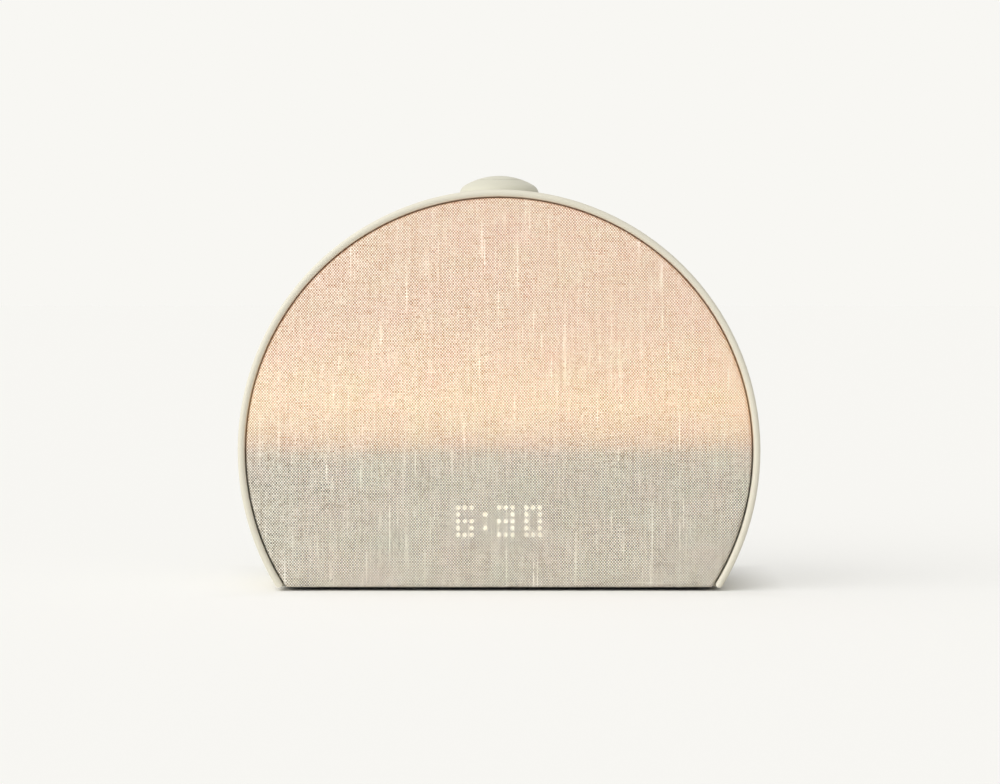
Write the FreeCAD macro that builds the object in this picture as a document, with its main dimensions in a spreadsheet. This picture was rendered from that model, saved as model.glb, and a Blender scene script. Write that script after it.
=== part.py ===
import FreeCAD
import Part
import Sketcher
import math
import os

# A sunrise alarm clock: a round housing with a flat underside, a fabric front, a dot display
# behind the fabric, a light for the sunrise, a knob on top and a loudspeaker at the back.
# The frame stands at the middle of the underside: +X to the right, +Y to the back, +Z up.
# Nearly every piece is drawn in the housing's own frame, with its origin at the circle's centre.

doc = FreeCAD.newDocument("SunriseAlarmClock")

# Driving sizes in millimetres, and counts
driving = [
    # housing
    ("outerRadius", 105.0, "outside radius of the round housing"),
    ("depth", 88.0, "front to back"),
    ("centreHeight", 56.3, "height of the circle's centre above the table"),
    ("wall", 2.8, "wall of the housing"),
    ("backRound", 36.0, "radius of the round between side and back"),
    ("tipRound", 1.2, "round on the lower edge of the housing"),
    ("ribLength", 3.0, "length of the inner rib"),
    ("ribHeight", 3.0, "height of the inner rib"),
    ("postRoot", 0.7, "foot of a post, rib or lug inside its wall"),
    ("lugInset", 10.0, "chassis screws inside the outside radius"),
    ("lugWidth", 10.0, "width of a chassis lug"),
    ("lugLength", 10.0, "length of a chassis lug"),
    ("lugDrop", 5.0, "chassis lug, from screw to inner end"),
    ("lugs", 4, "chassis lugs over the upper half"),
    # fasteners
    ("screwRadius", 1.2, "shank radius of the small screws"),
    ("screwHead", 2.4, "head radius of the small screws"),
    ("screwHeadHeight", 1.6, "head height of the small screws"),
    ("threadFit", 0.05, "hole over shank where a screw bites"),
    ("passFit", 0.3, "hole over shank where a screw passes"),
    ("postWall", 1.6, "wall round a screw hole in a post"),
    ("screwBite", 5.8, "shank of a small screw in a long post"),
    ("screwTip", 1.8, "shank of a small screw past a thin wall"),
    ("blindHole", 1.0, "screw hole of a short post, in the wall below it"),
    # front
    ("fabricInset", 0.6, "front of the lip to the fabric"),
    ("fabricThickness", 0.5, "stretched fabric"),
    ("fabricGap", 0.6, "gap between fabric and housing"),
    ("fabricWrap", 3.9, "length of fabric folded back at the edge"),
    ("fabricRound", 1.6, "round of the fabric's edge"),
    ("panelThickness", 2.0, "front panel"),
    ("panelRim", 2.5, "width of the front panel's rim"),
    ("panelDepth", 4.1, "length of the front panel's rim"),
    ("gasketThickness", 0.8, "foam ring between panel and rib"),
    ("gasketInset", 0.1, "foam ring's edge inside the panel's edge"),
    ("armThickness", 1.9, "snap arm of the front panel"),
    ("armWidth", 10.0, "width of a snap arm"),
    ("armGap", 0.3, "snap arm to the inner rib"),
    ("barbHeight", 1.5, "barb on a snap arm"),
    ("barbLength", 1.1, "length of a barb"),
    ("barbPlay", 0.2, "barb to the back of the rib"),
    ("arms", 5, "snap arms over the upper half"),
    # sunrise light
    ("diffuserThickness", 1.0, "diffuser sheet"),
    ("diffuserGap", 0.6, "diffuser's edge to the snap arms"),
    ("reflectorWall", 1.2, "wall of the reflector"),
    ("reflectorFlare", 8.4, "flare of the reflector, back to front"),
    ("reflectorFloor", 3.0, "reflector's shelf below the circle's centre"),
    ("ledBoardEnd", 8.0, "side of the reflector to the end of the light board"),
    ("ledBoardDepth", 8.0, "light board, front to back"),
    ("ledBoardThickness", 1.2, "light board"),
    ("ledBoardInset", 8.0, "front of the shelf to the middle of the light board"),
    ("ledSide", 5.0, "side of a light chip"),
    ("ledHeight", 1.4, "height of a light chip"),
    ("leds", 16, "light chips"),
    ("reflectorScrewSpread", 55.0, "outer reflector screws from the middle"),
    ("reflectorScrewLow", 25.0, "height of the outer reflector screws over the centre"),
    ("reflectorScrewInset", 13.0, "middle reflector screw below the top of the reflector"),
    # display
    ("dotPitch", 2.745, "pitch of the display's dots"),
    ("dotColumns", 15, "columns of dots"),
    ("dotRows", 8, "rows of dots"),
    ("displayDrop", 26.8, "middle of the display below the circle's centre"),
    ("cellSide", 2.2, "side of a light cell"),
    ("baffleEdge", 1.2, "edge of the baffle round its cells"),
    ("baffleDepth", 4.5, "depth of the light cells"),
    ("displayLedSide", 1.6, "side of a display chip"),
    ("displayLedHeight", 0.6, "height of a display chip"),
    ("displayBoardWidth", 62.0, "display board"),
    ("displayBoardHeight", 32.0, "display board"),
    ("boardThickness", 1.6, "large circuit boards"),
    ("displayScrewSpread", 27.0, "display screws from the middle"),
    # chassis and main board
    ("chassisGap", 0.6, "chassis to the inner rib"),
    ("chassisThickness", 2.0, "chassis plate"),
    ("chassisFloor", 50.0, "lower edge of the chassis below the circle's centre"),
    ("chassisInset", 18.0, "front of the housing to the chassis"),
    ("windowWidth", 36.0, "cable window in the chassis"),
    ("windowHeight", 12.0, "cable window in the chassis"),
    ("mainBoardWidth", 100.0, "main board"),
    ("mainBoardHeight", 50.0, "main board"),
    ("mainBoardDrop", 10.0, "middle of the main board below the circle's centre"),
    ("mainBoardGap", 3.0, "posts that carry the main board"),
    ("boardScrewInset", 5.0, "screw to the edge of a board"),
    ("moduleWidth", 18.0, "radio module"),
    ("moduleHeight", 16.0, "radio module"),
    ("moduleThickness", 2.4, "radio module"),
    ("chipSide", 12.0, "processor"),
    ("chipThickness", 1.2, "processor"),
    # power
    ("socketDrop", 44.0, "power socket below the circle's centre"),
    ("socketSide", 9.0, "power socket, width and height"),
    ("socketLength", 12.2, "power socket inside the wall"),
    ("socketNose", 4.2, "radius of the power socket's nose"),
    ("socketNoseGap", 0.3, "nose to the hole in the wall"),
    ("socketNoseInset", 0.8, "nose behind the outside of the wall"),
    ("socketBore", 3.15, "radius of the power socket's bore"),
    ("socketBoreDepth", 9.5, "depth of the bore"),
    ("socketPin", 1.0, "radius of the centre pin"),
    ("socketPinInset", 0.8, "tip of the pin inside the mouth of the bore"),
    ("powerBoardWidth", 44.0, "power board"),
    ("powerBoardDepth", 30.0, "power board, front to back"),
    ("powerBoardGap", 2.0, "back wall to the power board"),
    # loudspeaker
    ("speakerRise", 6.0, "loudspeaker's axis above the circle's centre"),
    ("grilleRadius", 30.0, "radius of the grille"),
    ("grilleThickness", 1.2, "grille"),
    ("grilleGap", 0.2, "grille to its recess"),
    ("speakerOpening", 24.5, "radius of the opening behind the grille"),
    ("slotWidth", 2.0, "width of a slot in the grille"),
    ("slotReach", 23.0, "radius of the slotted area"),
    ("meshThickness", 0.3, "dust mesh"),
    ("meshGap", 0.2, "mesh to the edge of the opening"),
    ("foamThickness", 3.0, "foam ring in front of the loudspeaker"),
    ("foamWidth", 2.4, "foam ring, inside to outside"),
    ("foamGap", 0.3, "rubber roll's lip to the foam ring"),
    ("flangeSide", 55.0, "side of the loudspeaker's square flange"),
    ("flangeCorner", 5.0, "corner radius of the flange"),
    ("flangeThickness", 1.2, "flange"),
    ("flangeHole", 25.3, "radius of the flange's opening"),
    ("driverScrewCircle", 34.0, "circle of the loudspeaker's screws"),
    ("basketDepth", 17.0, "flange to the basket's floor"),
    ("basketMouth", 26.6, "basket's radius at the flange"),
    ("basketFloorRadius", 18.0, "basket's radius at its floor"),
    ("basketWall", 1.2, "basket's wall"),
    ("basketWindow", 14.0, "width of a basket window"),
    ("surroundWidth", 4.6, "width of the rubber roll"),
    ("surroundThickness", 0.6, "rubber roll"),
    ("surroundRoll", 1.1, "inside radius of the rubber roll"),
    ("surroundLip", 2.2, "rubber roll on the flange"),
    ("coneThickness", 0.6, "paper cone"),
    ("coneDepth", 10.0, "depth of the cone"),
    ("coneNeck", 7.0, "radius of the cone's neck"),
    ("capRise", 3.0, "rise of the dust cap"),
    ("magnetRadius", 17.5, "loudspeaker magnet"),
    ("magnetDepth", 11.0, "loudspeaker magnet with its plates"),
    ("plateThickness", 3.0, "steel plate of the magnet"),
    ("magnetStep", 1.5, "magnet plate inside the magnet's edge"),
    ("boxRadius", 40.0, "outside radius of the loudspeaker's box"),
    ("boxWall", 2.0, "wall of the loudspeaker's box"),
    ("boxDepth", 37.0, "depth of the loudspeaker's box"),
    ("boxTaper", 6.0, "taper of the box at its closed end"),
    ("boxEarCircle", 46.0, "circle of the box's screws"),
    ("boxEarRadius", 4.6, "radius of a box ear"),
    ("boxEarThickness", 2.4, "box ear"),
    ("boxPostLength", 8.0, "posts that carry the box's ears"),
    # knob
    ("knobSetback", 6.0, "knob's axis in front of the middle of the depth"),
    ("knobRadius", 16.3, "outside radius of the knob"),
    ("knobDome", 7.8, "height of the dome"),
    ("knobSkirt", 0.9, "straight skirt below the dome"),
    ("knobEdgeRound", 4.6, "round of the dome's edge"),
    ("wellFloorInset", 3.0, "crest of the housing to the floor of the knob's well"),
    ("wellGap", 0.5, "knob to the wall of its well"),
    ("wellFloorThickness", 2.4, "floor of the well"),
    ("wellPadMargin", 2.4, "floor of the well past its wall"),
    ("knobLift", 0.4, "floor of the well to the knob's skirt"),
    ("webThickness", 1.8, "web between the knob's ring and its hub"),
    ("hubRadius", 7.0, "outside radius of the knob's hub"),
    ("hubBore", 4.0, "radius of the hub's bore"),
    ("hubReach", 4.0, "hub below the floor of the well"),
    ("bushGap", 0.05, "hub to its bush"),
    ("bushWall", 1.35, "wall of the bush"),
    ("bushFlange", 1.6, "flange of the bush past its wall"),
    ("bushFlangeThickness", 0.3, "flange of the bush"),
    ("clipDrop", 0.4, "floor of the well to the retaining ring"),
    ("clipThickness", 0.8, "retaining ring"),
    ("clipGroove", 0.6, "depth of the groove for the retaining ring"),
    ("clipWidth", 3.0, "retaining ring, inside to outside"),
    ("clipMouth", 5.0, "mouth of the retaining ring"),
    ("dialMagnetThickness", 1.6, "ring magnet on the hub"),
    ("dialMagnetWidth", 2.4, "ring magnet, inside to outside"),
    ("buttonGap", 0.3, "button to the knob's ring"),
    ("buttonRadius", 9.2, "radius of the button"),
    ("buttonTravel", 1.2, "travel of the button"),
    ("buttonRest", 0.2, "button's floor to the web when pressed"),
    ("buttonWall", 1.2, "wall of the button"),
    ("stemGap", 0.4, "button's stem to the bore of the hub"),
    ("retainerRadius", 5.2, "cap on the button's stem"),
    ("retainerThickness", 1.2, "cap on the button's stem"),
    ("retainerPlay", 0.2, "cap to the ring magnet"),
    ("tactSide", 6.0, "push switch"),
    ("tactHeight", 3.4, "push switch"),
    ("tactPlay", 0.1, "push switch to the cap when pressed"),
    ("topBoardWidth", 44.0, "knob's board"),
    ("topBoardDepth", 22.0, "knob's board, front to back"),
    ("thinBoard", 1.2, "small circuit boards"),
    ("topBoardPosts", 16.5, "posts of the knob's board from its axis"),
    ("hallGap", 0.8, "ring magnet to the turn sensor"),
    ("hallWidth", 4.0, "turn sensor"),
    ("hallThickness", 1.5, "turn sensor"),
    ("hallHeight", 3.0, "turn sensor"),
    ("hallLeg", 0.5, "leg of the turn sensor"),
    ("hallLegPitch", 1.27, "pitch of the sensor's legs"),
    # alarm switch
    ("alarmRise", 58.0, "alarm slider above the circle's centre"),
    ("alarmRecessWidth", 18.0, "recess round the slider"),
    ("alarmRecessHeight", 9.0, "recess round the slider"),
    ("alarmRecessDepth", 1.0, "recess round the slider"),
    ("alarmTravel", 5.0, "travel of the slider"),
    ("alarmKnobWidth", 6.0, "slider's knob"),
    ("alarmKnobHeight", 4.0, "slider's knob"),
    ("alarmKnobInset", 0.1, "slider's knob inside the back"),
    ("alarmFit", 0.3, "slider to its slot"),
    ("alarmFlangeThickness", 1.0, "slider's flange"),
    ("alarmFlangeMargin", 2.5, "slider's flange past the slot"),
    ("alarmTongueWidth", 2.0, "slider's tongue"),
    ("alarmTongueLength", 2.4, "slider's tongue"),
    ("alarmSwitchWidth", 14.0, "slide switch"),
    ("alarmSwitchHeight", 6.0, "slide switch"),
    ("alarmSwitchDepth", 4.0, "slide switch"),
    ("alarmSwitchGap", 0.4, "slider's flange to the slide switch"),
    ("alarmBoardWidth", 44.0, "board of the slide switch"),
    ("alarmBoardHeight", 12.0, "board of the slide switch"),
    ("alarmPosts", 18.0, "posts of the switch's board from the middle"),
    # base
    ("baseThickness", 3.0, "base plate"),
    ("baseGap", 0.3, "base plate to the housing"),
    ("baseFrontGap", 0.8, "base plate to the front panel"),
    ("basePostRadius", 4.0, "rear posts for the base screws"),
    ("basePostHeight", 14.0, "rear posts for the base screws"),
    ("basePostSpread", 35.0, "rear base screws from the middle"),
    ("basePostInset", 6.4, "rear base screws in front of the back"),
    ("baseBlockHeight", 8.0, "front blocks for the base screws"),
    ("baseBlockInset", 6.1, "front base screws to the inside of the wall"),
    ("baseBlockSetback", 15.0, "front base screws in front of the middle of the depth"),
    ("baseBlockLength", 10.0, "front blocks, front to back"),
    ("baseBlockInner", 4.5, "front base screw to the inner face of its block"),
    ("baseBlockRoot", 1.9, "outer face of a front block inside the wall"),
    ("baseHeadDepth", 1.7, "counterbore for a base screw"),
    ("footThickness", 1.5, "rubber foot"),
    ("footSideInset", 7.9, "rubber foot to the side of the base plate"),
    ("footEndInset", 13.0, "rubber foot to the front and the back of the housing"),
    ("footCorner", 9.0, "corner radius of the rubber foot"),
]


class Dim:
    """A size, kept as the expression that drives the document and as its number for drawing."""

    def __init__(self, text, number):
        self.text = text
        self.number = number

    def __add__(self, other):
        return combine(self, other, "+", self.number + asDim(other).number)

    def __radd__(self, other):
        return asDim(other) + self

    def __sub__(self, other):
        return combine(self, other, "-", self.number - asDim(other).number)

    def __rsub__(self, other):
        return asDim(other) - self

    def __mul__(self, other):
        return combine(self, other, "*", self.number * asDim(other).number)

    def __rmul__(self, other):
        return asDim(other) * self

    def __truediv__(self, other):
        return combine(self, other, "/", self.number / asDim(other).number)

    def __neg__(self):
        return 0 - self


def asDim(value):
    """A plain number becomes a size that nothing drives."""
    if isinstance(value, Dim):
        return value
    return Dim(repr(float(value)), float(value))


def combine(left, right, sign, number):
    return Dim("(%s %s %s)" % (asDim(left).text, sign, asDim(right).text), number)


def root(value):
    return Dim("sqrt(%s)" % value.text, math.sqrt(value.number))


class Sizes:
    """The driving sizes by name."""


def fillSheet():
    """Writes the driving sizes to the sheet and hands them back by name."""
    sheet = doc.addObject("Spreadsheet::Sheet", "Sizes")
    sizes = Sizes()
    for row, (alias, number, meaning) in enumerate(driving, 1):
        sheet.set("A%d" % row, meaning)
        sheet.set("B%d" % row, str(number))
        sheet.setAlias("B%d" % row, alias)
        setattr(sizes, alias, Dim("Sizes." + alias, number))
    doc.recompute()
    return sizes


size = fillSheet()
pieces = []
slotCount = 11  # slots in the loudspeaker's grille

# Levels that several pieces share, in the housing's frame
front = -size.depth / 2
back = size.depth / 2
backInside = back - size.wall
innerRadius = size.outerRadius - size.wall
backStart = back - size.backRound
flatRadius = size.outerRadius - size.backRound
underside = size.footThickness - size.centreHeight
baseTop = underside + size.baseThickness
halfDiagonal = math.sqrt(0.5)


def bind(thing, path, value):
    """Drives one property by a size, or sets it where the value is a plain number."""
    thing.setExpression(path, asDim(value).text)


def newBody(label, x=0, y=0, z=size.centreHeight):
    """An empty body whose Label names its piece."""
    body = doc.addObject("PartDesign::Body", label)
    body.Label = label
    body.AllowCompound = True
    bind(body, ".Placement.Base.x", x)
    bind(body, ".Placement.Base.y", y)
    bind(body, ".Placement.Base.z", z)
    pieces.append(body)
    return body


def newSketch(body, role, offset):
    sketch = body.newObject("Sketcher::SketchObject", body.Name + "Sketch")
    plane = [item for item in body.Origin.OriginFeatures if item.Role == role][0]
    sketch.AttachmentSupport = (plane, [""])
    sketch.MapMode = "FlatFace"
    bind(sketch, ".AttachmentOffset.Base.z", offset)
    return sketch


def faceSketch(body, y):
    """A sketch that faces the front, at a depth: its axes are X and Z."""
    return newSketch(body, "XZ_Plane", -asDim(y))


def levelSketch(body, z):
    """A flat sketch at a height: its axes are X and Y."""
    return newSketch(body, "XY_Plane", z)


def sideSketch(body):
    """A sketch in the middle plane: its axes are Y and Z."""
    return newSketch(body, "YZ_Plane", 0)


def pin(sketch, kind, geometry, point, value):
    """Holds one coordinate of a point, or a radius, to a size."""
    number = asDim(value).number
    if kind == "Radius":
        constraint = Sketcher.Constraint(kind, geometry, number)
    else:
        constraint = Sketcher.Constraint(kind, -1, 1, geometry, point, number)
    index = sketch.addConstraint(constraint)
    name = "%s%d" % (kind.lower(), index)
    sketch.renameConstraint(index, name)
    bind(sketch, "Constraints." + name, value)


def outline(sketch, corners):
    """A closed outline. A corner (u, v) is reached by a line, (u, v, centreU, centreV, turn) by an
    arc about that centre, where turn is 1 for anticlockwise and -1 for clockwise."""
    edges = []
    for index, corner in enumerate(corners):
        start = [asDim(value).number for value in corners[index - 1][:2]]
        end = [asDim(value).number for value in corner[:2]]
        if len(corner) == 2:
            first, last = 1, 2
            edge = Part.LineSegment(FreeCAD.Vector(*start, 0), FreeCAD.Vector(*end, 0))
            edges.append((sketch.addGeometry(edge, False), first, last))
            continue
        centre = [asDim(value).number for value in corner[2:4]]
        if corner[4] < 0:
            start, end = end, start
        angles = [math.atan2(point[1] - centre[1], point[0] - centre[0]) for point in (start, end)]
        if angles[1] <= angles[0]:
            angles[1] += 2 * math.pi
        radius = math.dist(start, centre)
        circle = Part.Circle(FreeCAD.Vector(*centre, 0), FreeCAD.Vector(0, 0, 1), radius)
        geometry = sketch.addGeometry(Part.ArcOfCircle(circle, *angles), False)
        edges.append((geometry, 1, 2) if corner[4] > 0 else (geometry, 2, 1))
        if abs(end[0] - start[0]) > abs(end[1] - start[1]):
            pin(sketch, "DistanceY", geometry, 3, corner[3])
        else:
            pin(sketch, "DistanceX", geometry, 3, corner[2])
    for index, (geometry, first, last) in enumerate(edges):
        before = edges[index - 1]
        joint = Sketcher.Constraint("Coincident", before[0], before[2], geometry, first)
        sketch.addConstraint(joint)
        pin(sketch, "DistanceX", geometry, last, corners[index][0])
        pin(sketch, "DistanceY", geometry, last, corners[index][1])


def rectangle(sketch, u, v, width, height):
    """A rectangle about the point (u, v)."""
    left = u - width / 2
    right = u + width / 2
    low = v - height / 2
    high = v + height / 2
    outline(sketch, [(left, low), (right, low), (right, high), (left, high)])


def roundedRectangle(sketch, u, v, width, height, corner):
    """A rectangle about the point (u, v) with round corners."""
    left = u - width / 2
    right = u + width / 2
    low = v - height / 2
    high = v + height / 2
    outline(sketch, [
        (right - corner, low),
        (right, low + corner, right - corner, low + corner, 1),
        (right, high - corner),
        (right - corner, high, right - corner, high - corner, 1),
        (left + corner, high),
        (left, high - corner, left + corner, high - corner, 1),
        (left, low + corner),
        (left + corner, low, left + corner, low + corner, 1),
    ])


def circle(sketch, u, v, radius):
    centre = FreeCAD.Vector(asDim(u).number, asDim(v).number, 0)
    ring = Part.Circle(centre, FreeCAD.Vector(0, 0, 1), asDim(radius).number)
    geometry = sketch.addGeometry(ring, False)
    pin(sketch, "DistanceX", geometry, 3, u)
    pin(sketch, "DistanceY", geometry, 3, v)
    pin(sketch, "Radius", geometry, 0, radius)


def flatBottomCircle(sketch, radius, floor, halves=False):
    """The outline that the housing and its inner pieces share: a circle cut flat at the bottom.
    Where the edge is rounded later, its arc is drawn in two halves that meet at the top."""
    half = root(radius * radius - floor * floor)
    top = [(0, radius, 0, 0, 1)] if halves else []
    outline(sketch, [(half, floor)] + top + [(-half, floor, 0, 0, 1)])


def pad(body, sketch, length, forward=True):
    """Adds material in front of a face sketch, or above a level sketch."""
    feature = body.newObject("PartDesign::Pad", body.Name + "Pad")
    feature.Profile = sketch
    feature.Reversed = not forward
    bind(feature, "Length", length)
    return feature


def pocket(body, sketch, length, backward=True):
    """Cuts behind a face sketch, or below a level sketch."""
    feature = body.newObject("PartDesign::Pocket", body.Name + "Pocket")
    feature.Profile = sketch
    feature.Reversed = not backward
    bind(feature, "Length", length)
    return feature


def revolve(body, sketch, axis):
    feature = body.newObject("PartDesign::Revolution", body.Name + "Turn")
    feature.Profile = sketch
    feature.ReferenceAxis = (sketch, [axis])
    feature.Angle = 360
    return feature


def turned(body, corners, axis="H_Axis"):
    """A turned form about the Y axis (H_Axis), from corners (y, radius)."""
    sketch = sideSketch(body)
    outline(sketch, corners)
    return revolve(body, sketch, axis)


def turnedUpright(body, corners):
    """A turned form about the Z axis, from corners (radius, z)."""
    sketch = faceSketch(body, 0)
    outline(sketch, corners)
    return revolve(body, sketch, "V_Axis")


def ringAround(body, features, sketch, angle, count):
    """Repeats features about the normal of their sketch."""
    pattern = body.newObject("PartDesign::PolarPattern", body.Name + "Ring")
    pattern.Originals = features
    pattern.Axis = (sketch, ["N_Axis"])
    pattern.Angle = angle
    bind(pattern, "Occurrences", count)
    body.Tip = pattern
    return pattern


def rowOf(body, features, sketch, spacing, count):
    """Repeats features along a sketch's horizontal axis."""
    pattern = body.newObject("PartDesign::LinearPattern", body.Name + "Row")
    pattern.Originals = features
    pattern.Direction = (sketch, ["H_Axis"])
    bind(pattern, "Length", spacing * (count - 1))
    bind(pattern, "Occurrences", count)
    body.Tip = pattern
    return pattern


def gridOf(body, features, sketch, spacing, columns, rows):
    """Repeats features over the columns and rows of a grid."""
    pattern = rowOf(body, features, sketch, spacing, columns)
    pattern.Direction2 = (sketch, ["V_Axis"])
    bind(pattern, "Length2", spacing * (rows - 1))
    bind(pattern, "Occurrences2", rows)
    return pattern


def roundEdges(body, feature, radius, wanted):
    """Rounds the edges of a feature whose middle point passes the test."""
    doc.recompute()
    names = []
    for number, edge in enumerate(feature.Shape.Edges, 1):
        middle = edge.valueAt((edge.FirstParameter + edge.LastParameter) / 2)
        ends = [vertex.Point for vertex in edge.Vertexes]
        if all(wanted(point) for point in ends + [middle]):
            names.append("Edge%d" % number)
    fillet = body.newObject("PartDesign::Fillet", body.Name + "Round")
    fillet.Base = (feature, names)
    bind(fillet, "Radius", radius)
    return fillet


def atDepth(y):
    return lambda point: abs(point.y - y.number) < 0.001


def mirrored(places):
    """The places and their twins on the other side of the middle plane."""
    return places + [(-u, v) for u, v in places]


def screws(label, facing, headFace, shankLength, places, **frame):
    """A set of equal screws. facing is front (the head looks to the front), back, below or above;
    headFace is the depth or height of the face that the heads bear on."""
    body = newBody(label, **frame)
    upright = facing in ("above", "below")
    sketchAt = levelSketch if upright else faceSketch
    outward = facing in ("front", "above")
    for radius, length, forward in (
        (size.screwHead, size.screwHeadHeight, outward),
        (size.screwRadius, shankLength, not outward),
    ):
        sketch = sketchAt(body, headFace)
        for u, v in places:
            circle(sketch, u, v, radius)
        pad(body, sketch, length, forward)
    return body


# Radii of screw holes and of the posts round them
biteHole = size.screwRadius + size.threadFit
passHole = size.screwRadius + size.passFit
postRadius = biteHole + size.postWall


def posts(body, sketch, places, length, forward=True):
    """Posts with a screw hole, standing on a wall."""
    for u, v in places:
        circle(sketch, u, v, postRadius)
        circle(sketch, u, v, biteHole)
    return pad(body, sketch, length, forward)


# Screw places that two or three pieces share
displayMiddle = -size.displayDrop
displayScrews = mirrored([(size.displayScrewSpread, displayMiddle)])
mainBoardMiddle = -size.mainBoardDrop
mainBoardX = size.mainBoardWidth / 2 - size.boardScrewInset
mainBoardZ = size.mainBoardHeight / 2 - size.boardScrewInset
mainBoardScrews = mirrored([
    (mainBoardX, mainBoardMiddle - mainBoardZ),
    (mainBoardX, mainBoardMiddle + mainBoardZ),
])
driverReach = size.driverScrewCircle * halfDiagonal
driverScrews = mirrored([
    (driverReach, size.speakerRise - driverReach),
    (driverReach, size.speakerRise + driverReach),
])
earReach = size.boxEarCircle * halfDiagonal
boxScrews = mirrored([
    (earReach, size.speakerRise - earReach),
    (earReach, size.speakerRise + earReach),
])
alarmScrews = mirrored([(size.alarmPosts, size.alarmRise)])
basePostY = back - size.basePostInset
baseBlockSpread = root(innerRadius * innerRadius - baseTop * baseTop) - size.baseBlockInset
rearBaseScrews = mirrored([(size.basePostSpread, basePostY)])
frontBaseScrews = mirrored([(baseBlockSpread, -size.baseBlockSetback)])
powerBoardBack = backInside - size.powerBoardGap
powerBoardMiddle = powerBoardBack - size.powerBoardDepth / 2
powerScrews = mirrored([(size.powerBoardWidth / 2 - size.boardScrewInset, powerBoardMiddle)])
knobY = -size.knobSetback
topScrews = mirrored([(size.topBoardPosts, knobY)])

# Depths of the pieces behind the fabric, from the front
fabricFront = front + size.fabricInset
panelFront = fabricFront + size.fabricThickness
panelBack = panelFront + size.panelThickness
panelRimBack = panelFront + size.panelDepth
ribFront = panelRimBack + size.gasketThickness
ribBack = ribFront + size.ribLength
ribRadius = innerRadius - size.ribHeight
fabricRadius = innerRadius - size.fabricGap
panelRadius = fabricRadius - size.fabricThickness
panelFloor = underside + size.fabricThickness
armOuter = ribRadius - size.armGap
armInner = armOuter - size.armThickness
diffuserRadius = armInner - size.diffuserGap
diffuserBack = panelBack + size.diffuserThickness
reflectorRadius = diffuserRadius - size.reflectorFlare
reflectorScrews = mirrored([(size.reflectorScrewSpread, size.reflectorScrewLow)])
reflectorScrews = reflectorScrews + [(0, reflectorRadius - size.reflectorScrewInset)]
baffleBack = panelBack + size.baffleDepth
displayBoardBack = baffleBack + size.boardThickness
chassisFront = front + size.chassisInset
chassisBack = chassisFront + size.chassisThickness
chassisRadius = ribRadius - size.chassisGap
lugCircle = size.outerRadius - size.lugInset
mainBoardFront = chassisBack + size.mainBoardGap
mainBoardBack = mainBoardFront + size.boardThickness

# Heights of the knob's pieces, above the circle's centre
wellFloor = size.outerRadius - size.wellFloorInset
wellUnder = wellFloor - size.wellFloorThickness
knobFoot = wellFloor + size.knobLift
domeFoot = knobFoot + size.knobSkirt
webTop = knobFoot + size.webThickness
hubFoot = wellUnder - size.hubReach
dialMagnetFoot = hubFoot - size.dialMagnetThickness
retainerTop = dialMagnetFoot - size.retainerPlay
retainerFoot = retainerTop - size.retainerThickness
tactTop = retainerFoot - size.buttonTravel - size.tactPlay
topBoardTop = tactTop - size.tactHeight
topBoardFoot = topBoardTop - size.thinBoard
bushOuter = size.hubRadius + size.bushGap + size.bushWall

# Heights at the power board, below the circle's centre
socketMiddle = -size.socketDrop
powerBoardTop = socketMiddle - size.socketSide / 2
powerBoardFoot = powerBoardTop - size.boardThickness


def roundTips(body, radius, side, length):
    """Rounds the corner between the flat underside and one side of the housing's wall, left and
    right: the outside of the wall where side is 1, its inside where side is -1."""
    reach = radius - side * size.tipRound
    lift = underside + size.tipRound
    centreX = root(reach * reach - lift * lift)
    touchX = centreX * radius / reach
    touchZ = lift * radius / reach
    clear = touchX + side * size.wall
    low = underside - size.wall
    sketch = faceSketch(body, front)
    for hand in (1, -1):
        outline(sketch, [
            (hand * centreX, low),
            (hand * clear, low),
            (hand * clear, touchZ),
            (hand * touchX, touchZ),
            (hand * centreX, underside, hand * centreX, lift, -side * hand),
        ])
    pocket(body, sketch, length)


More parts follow.
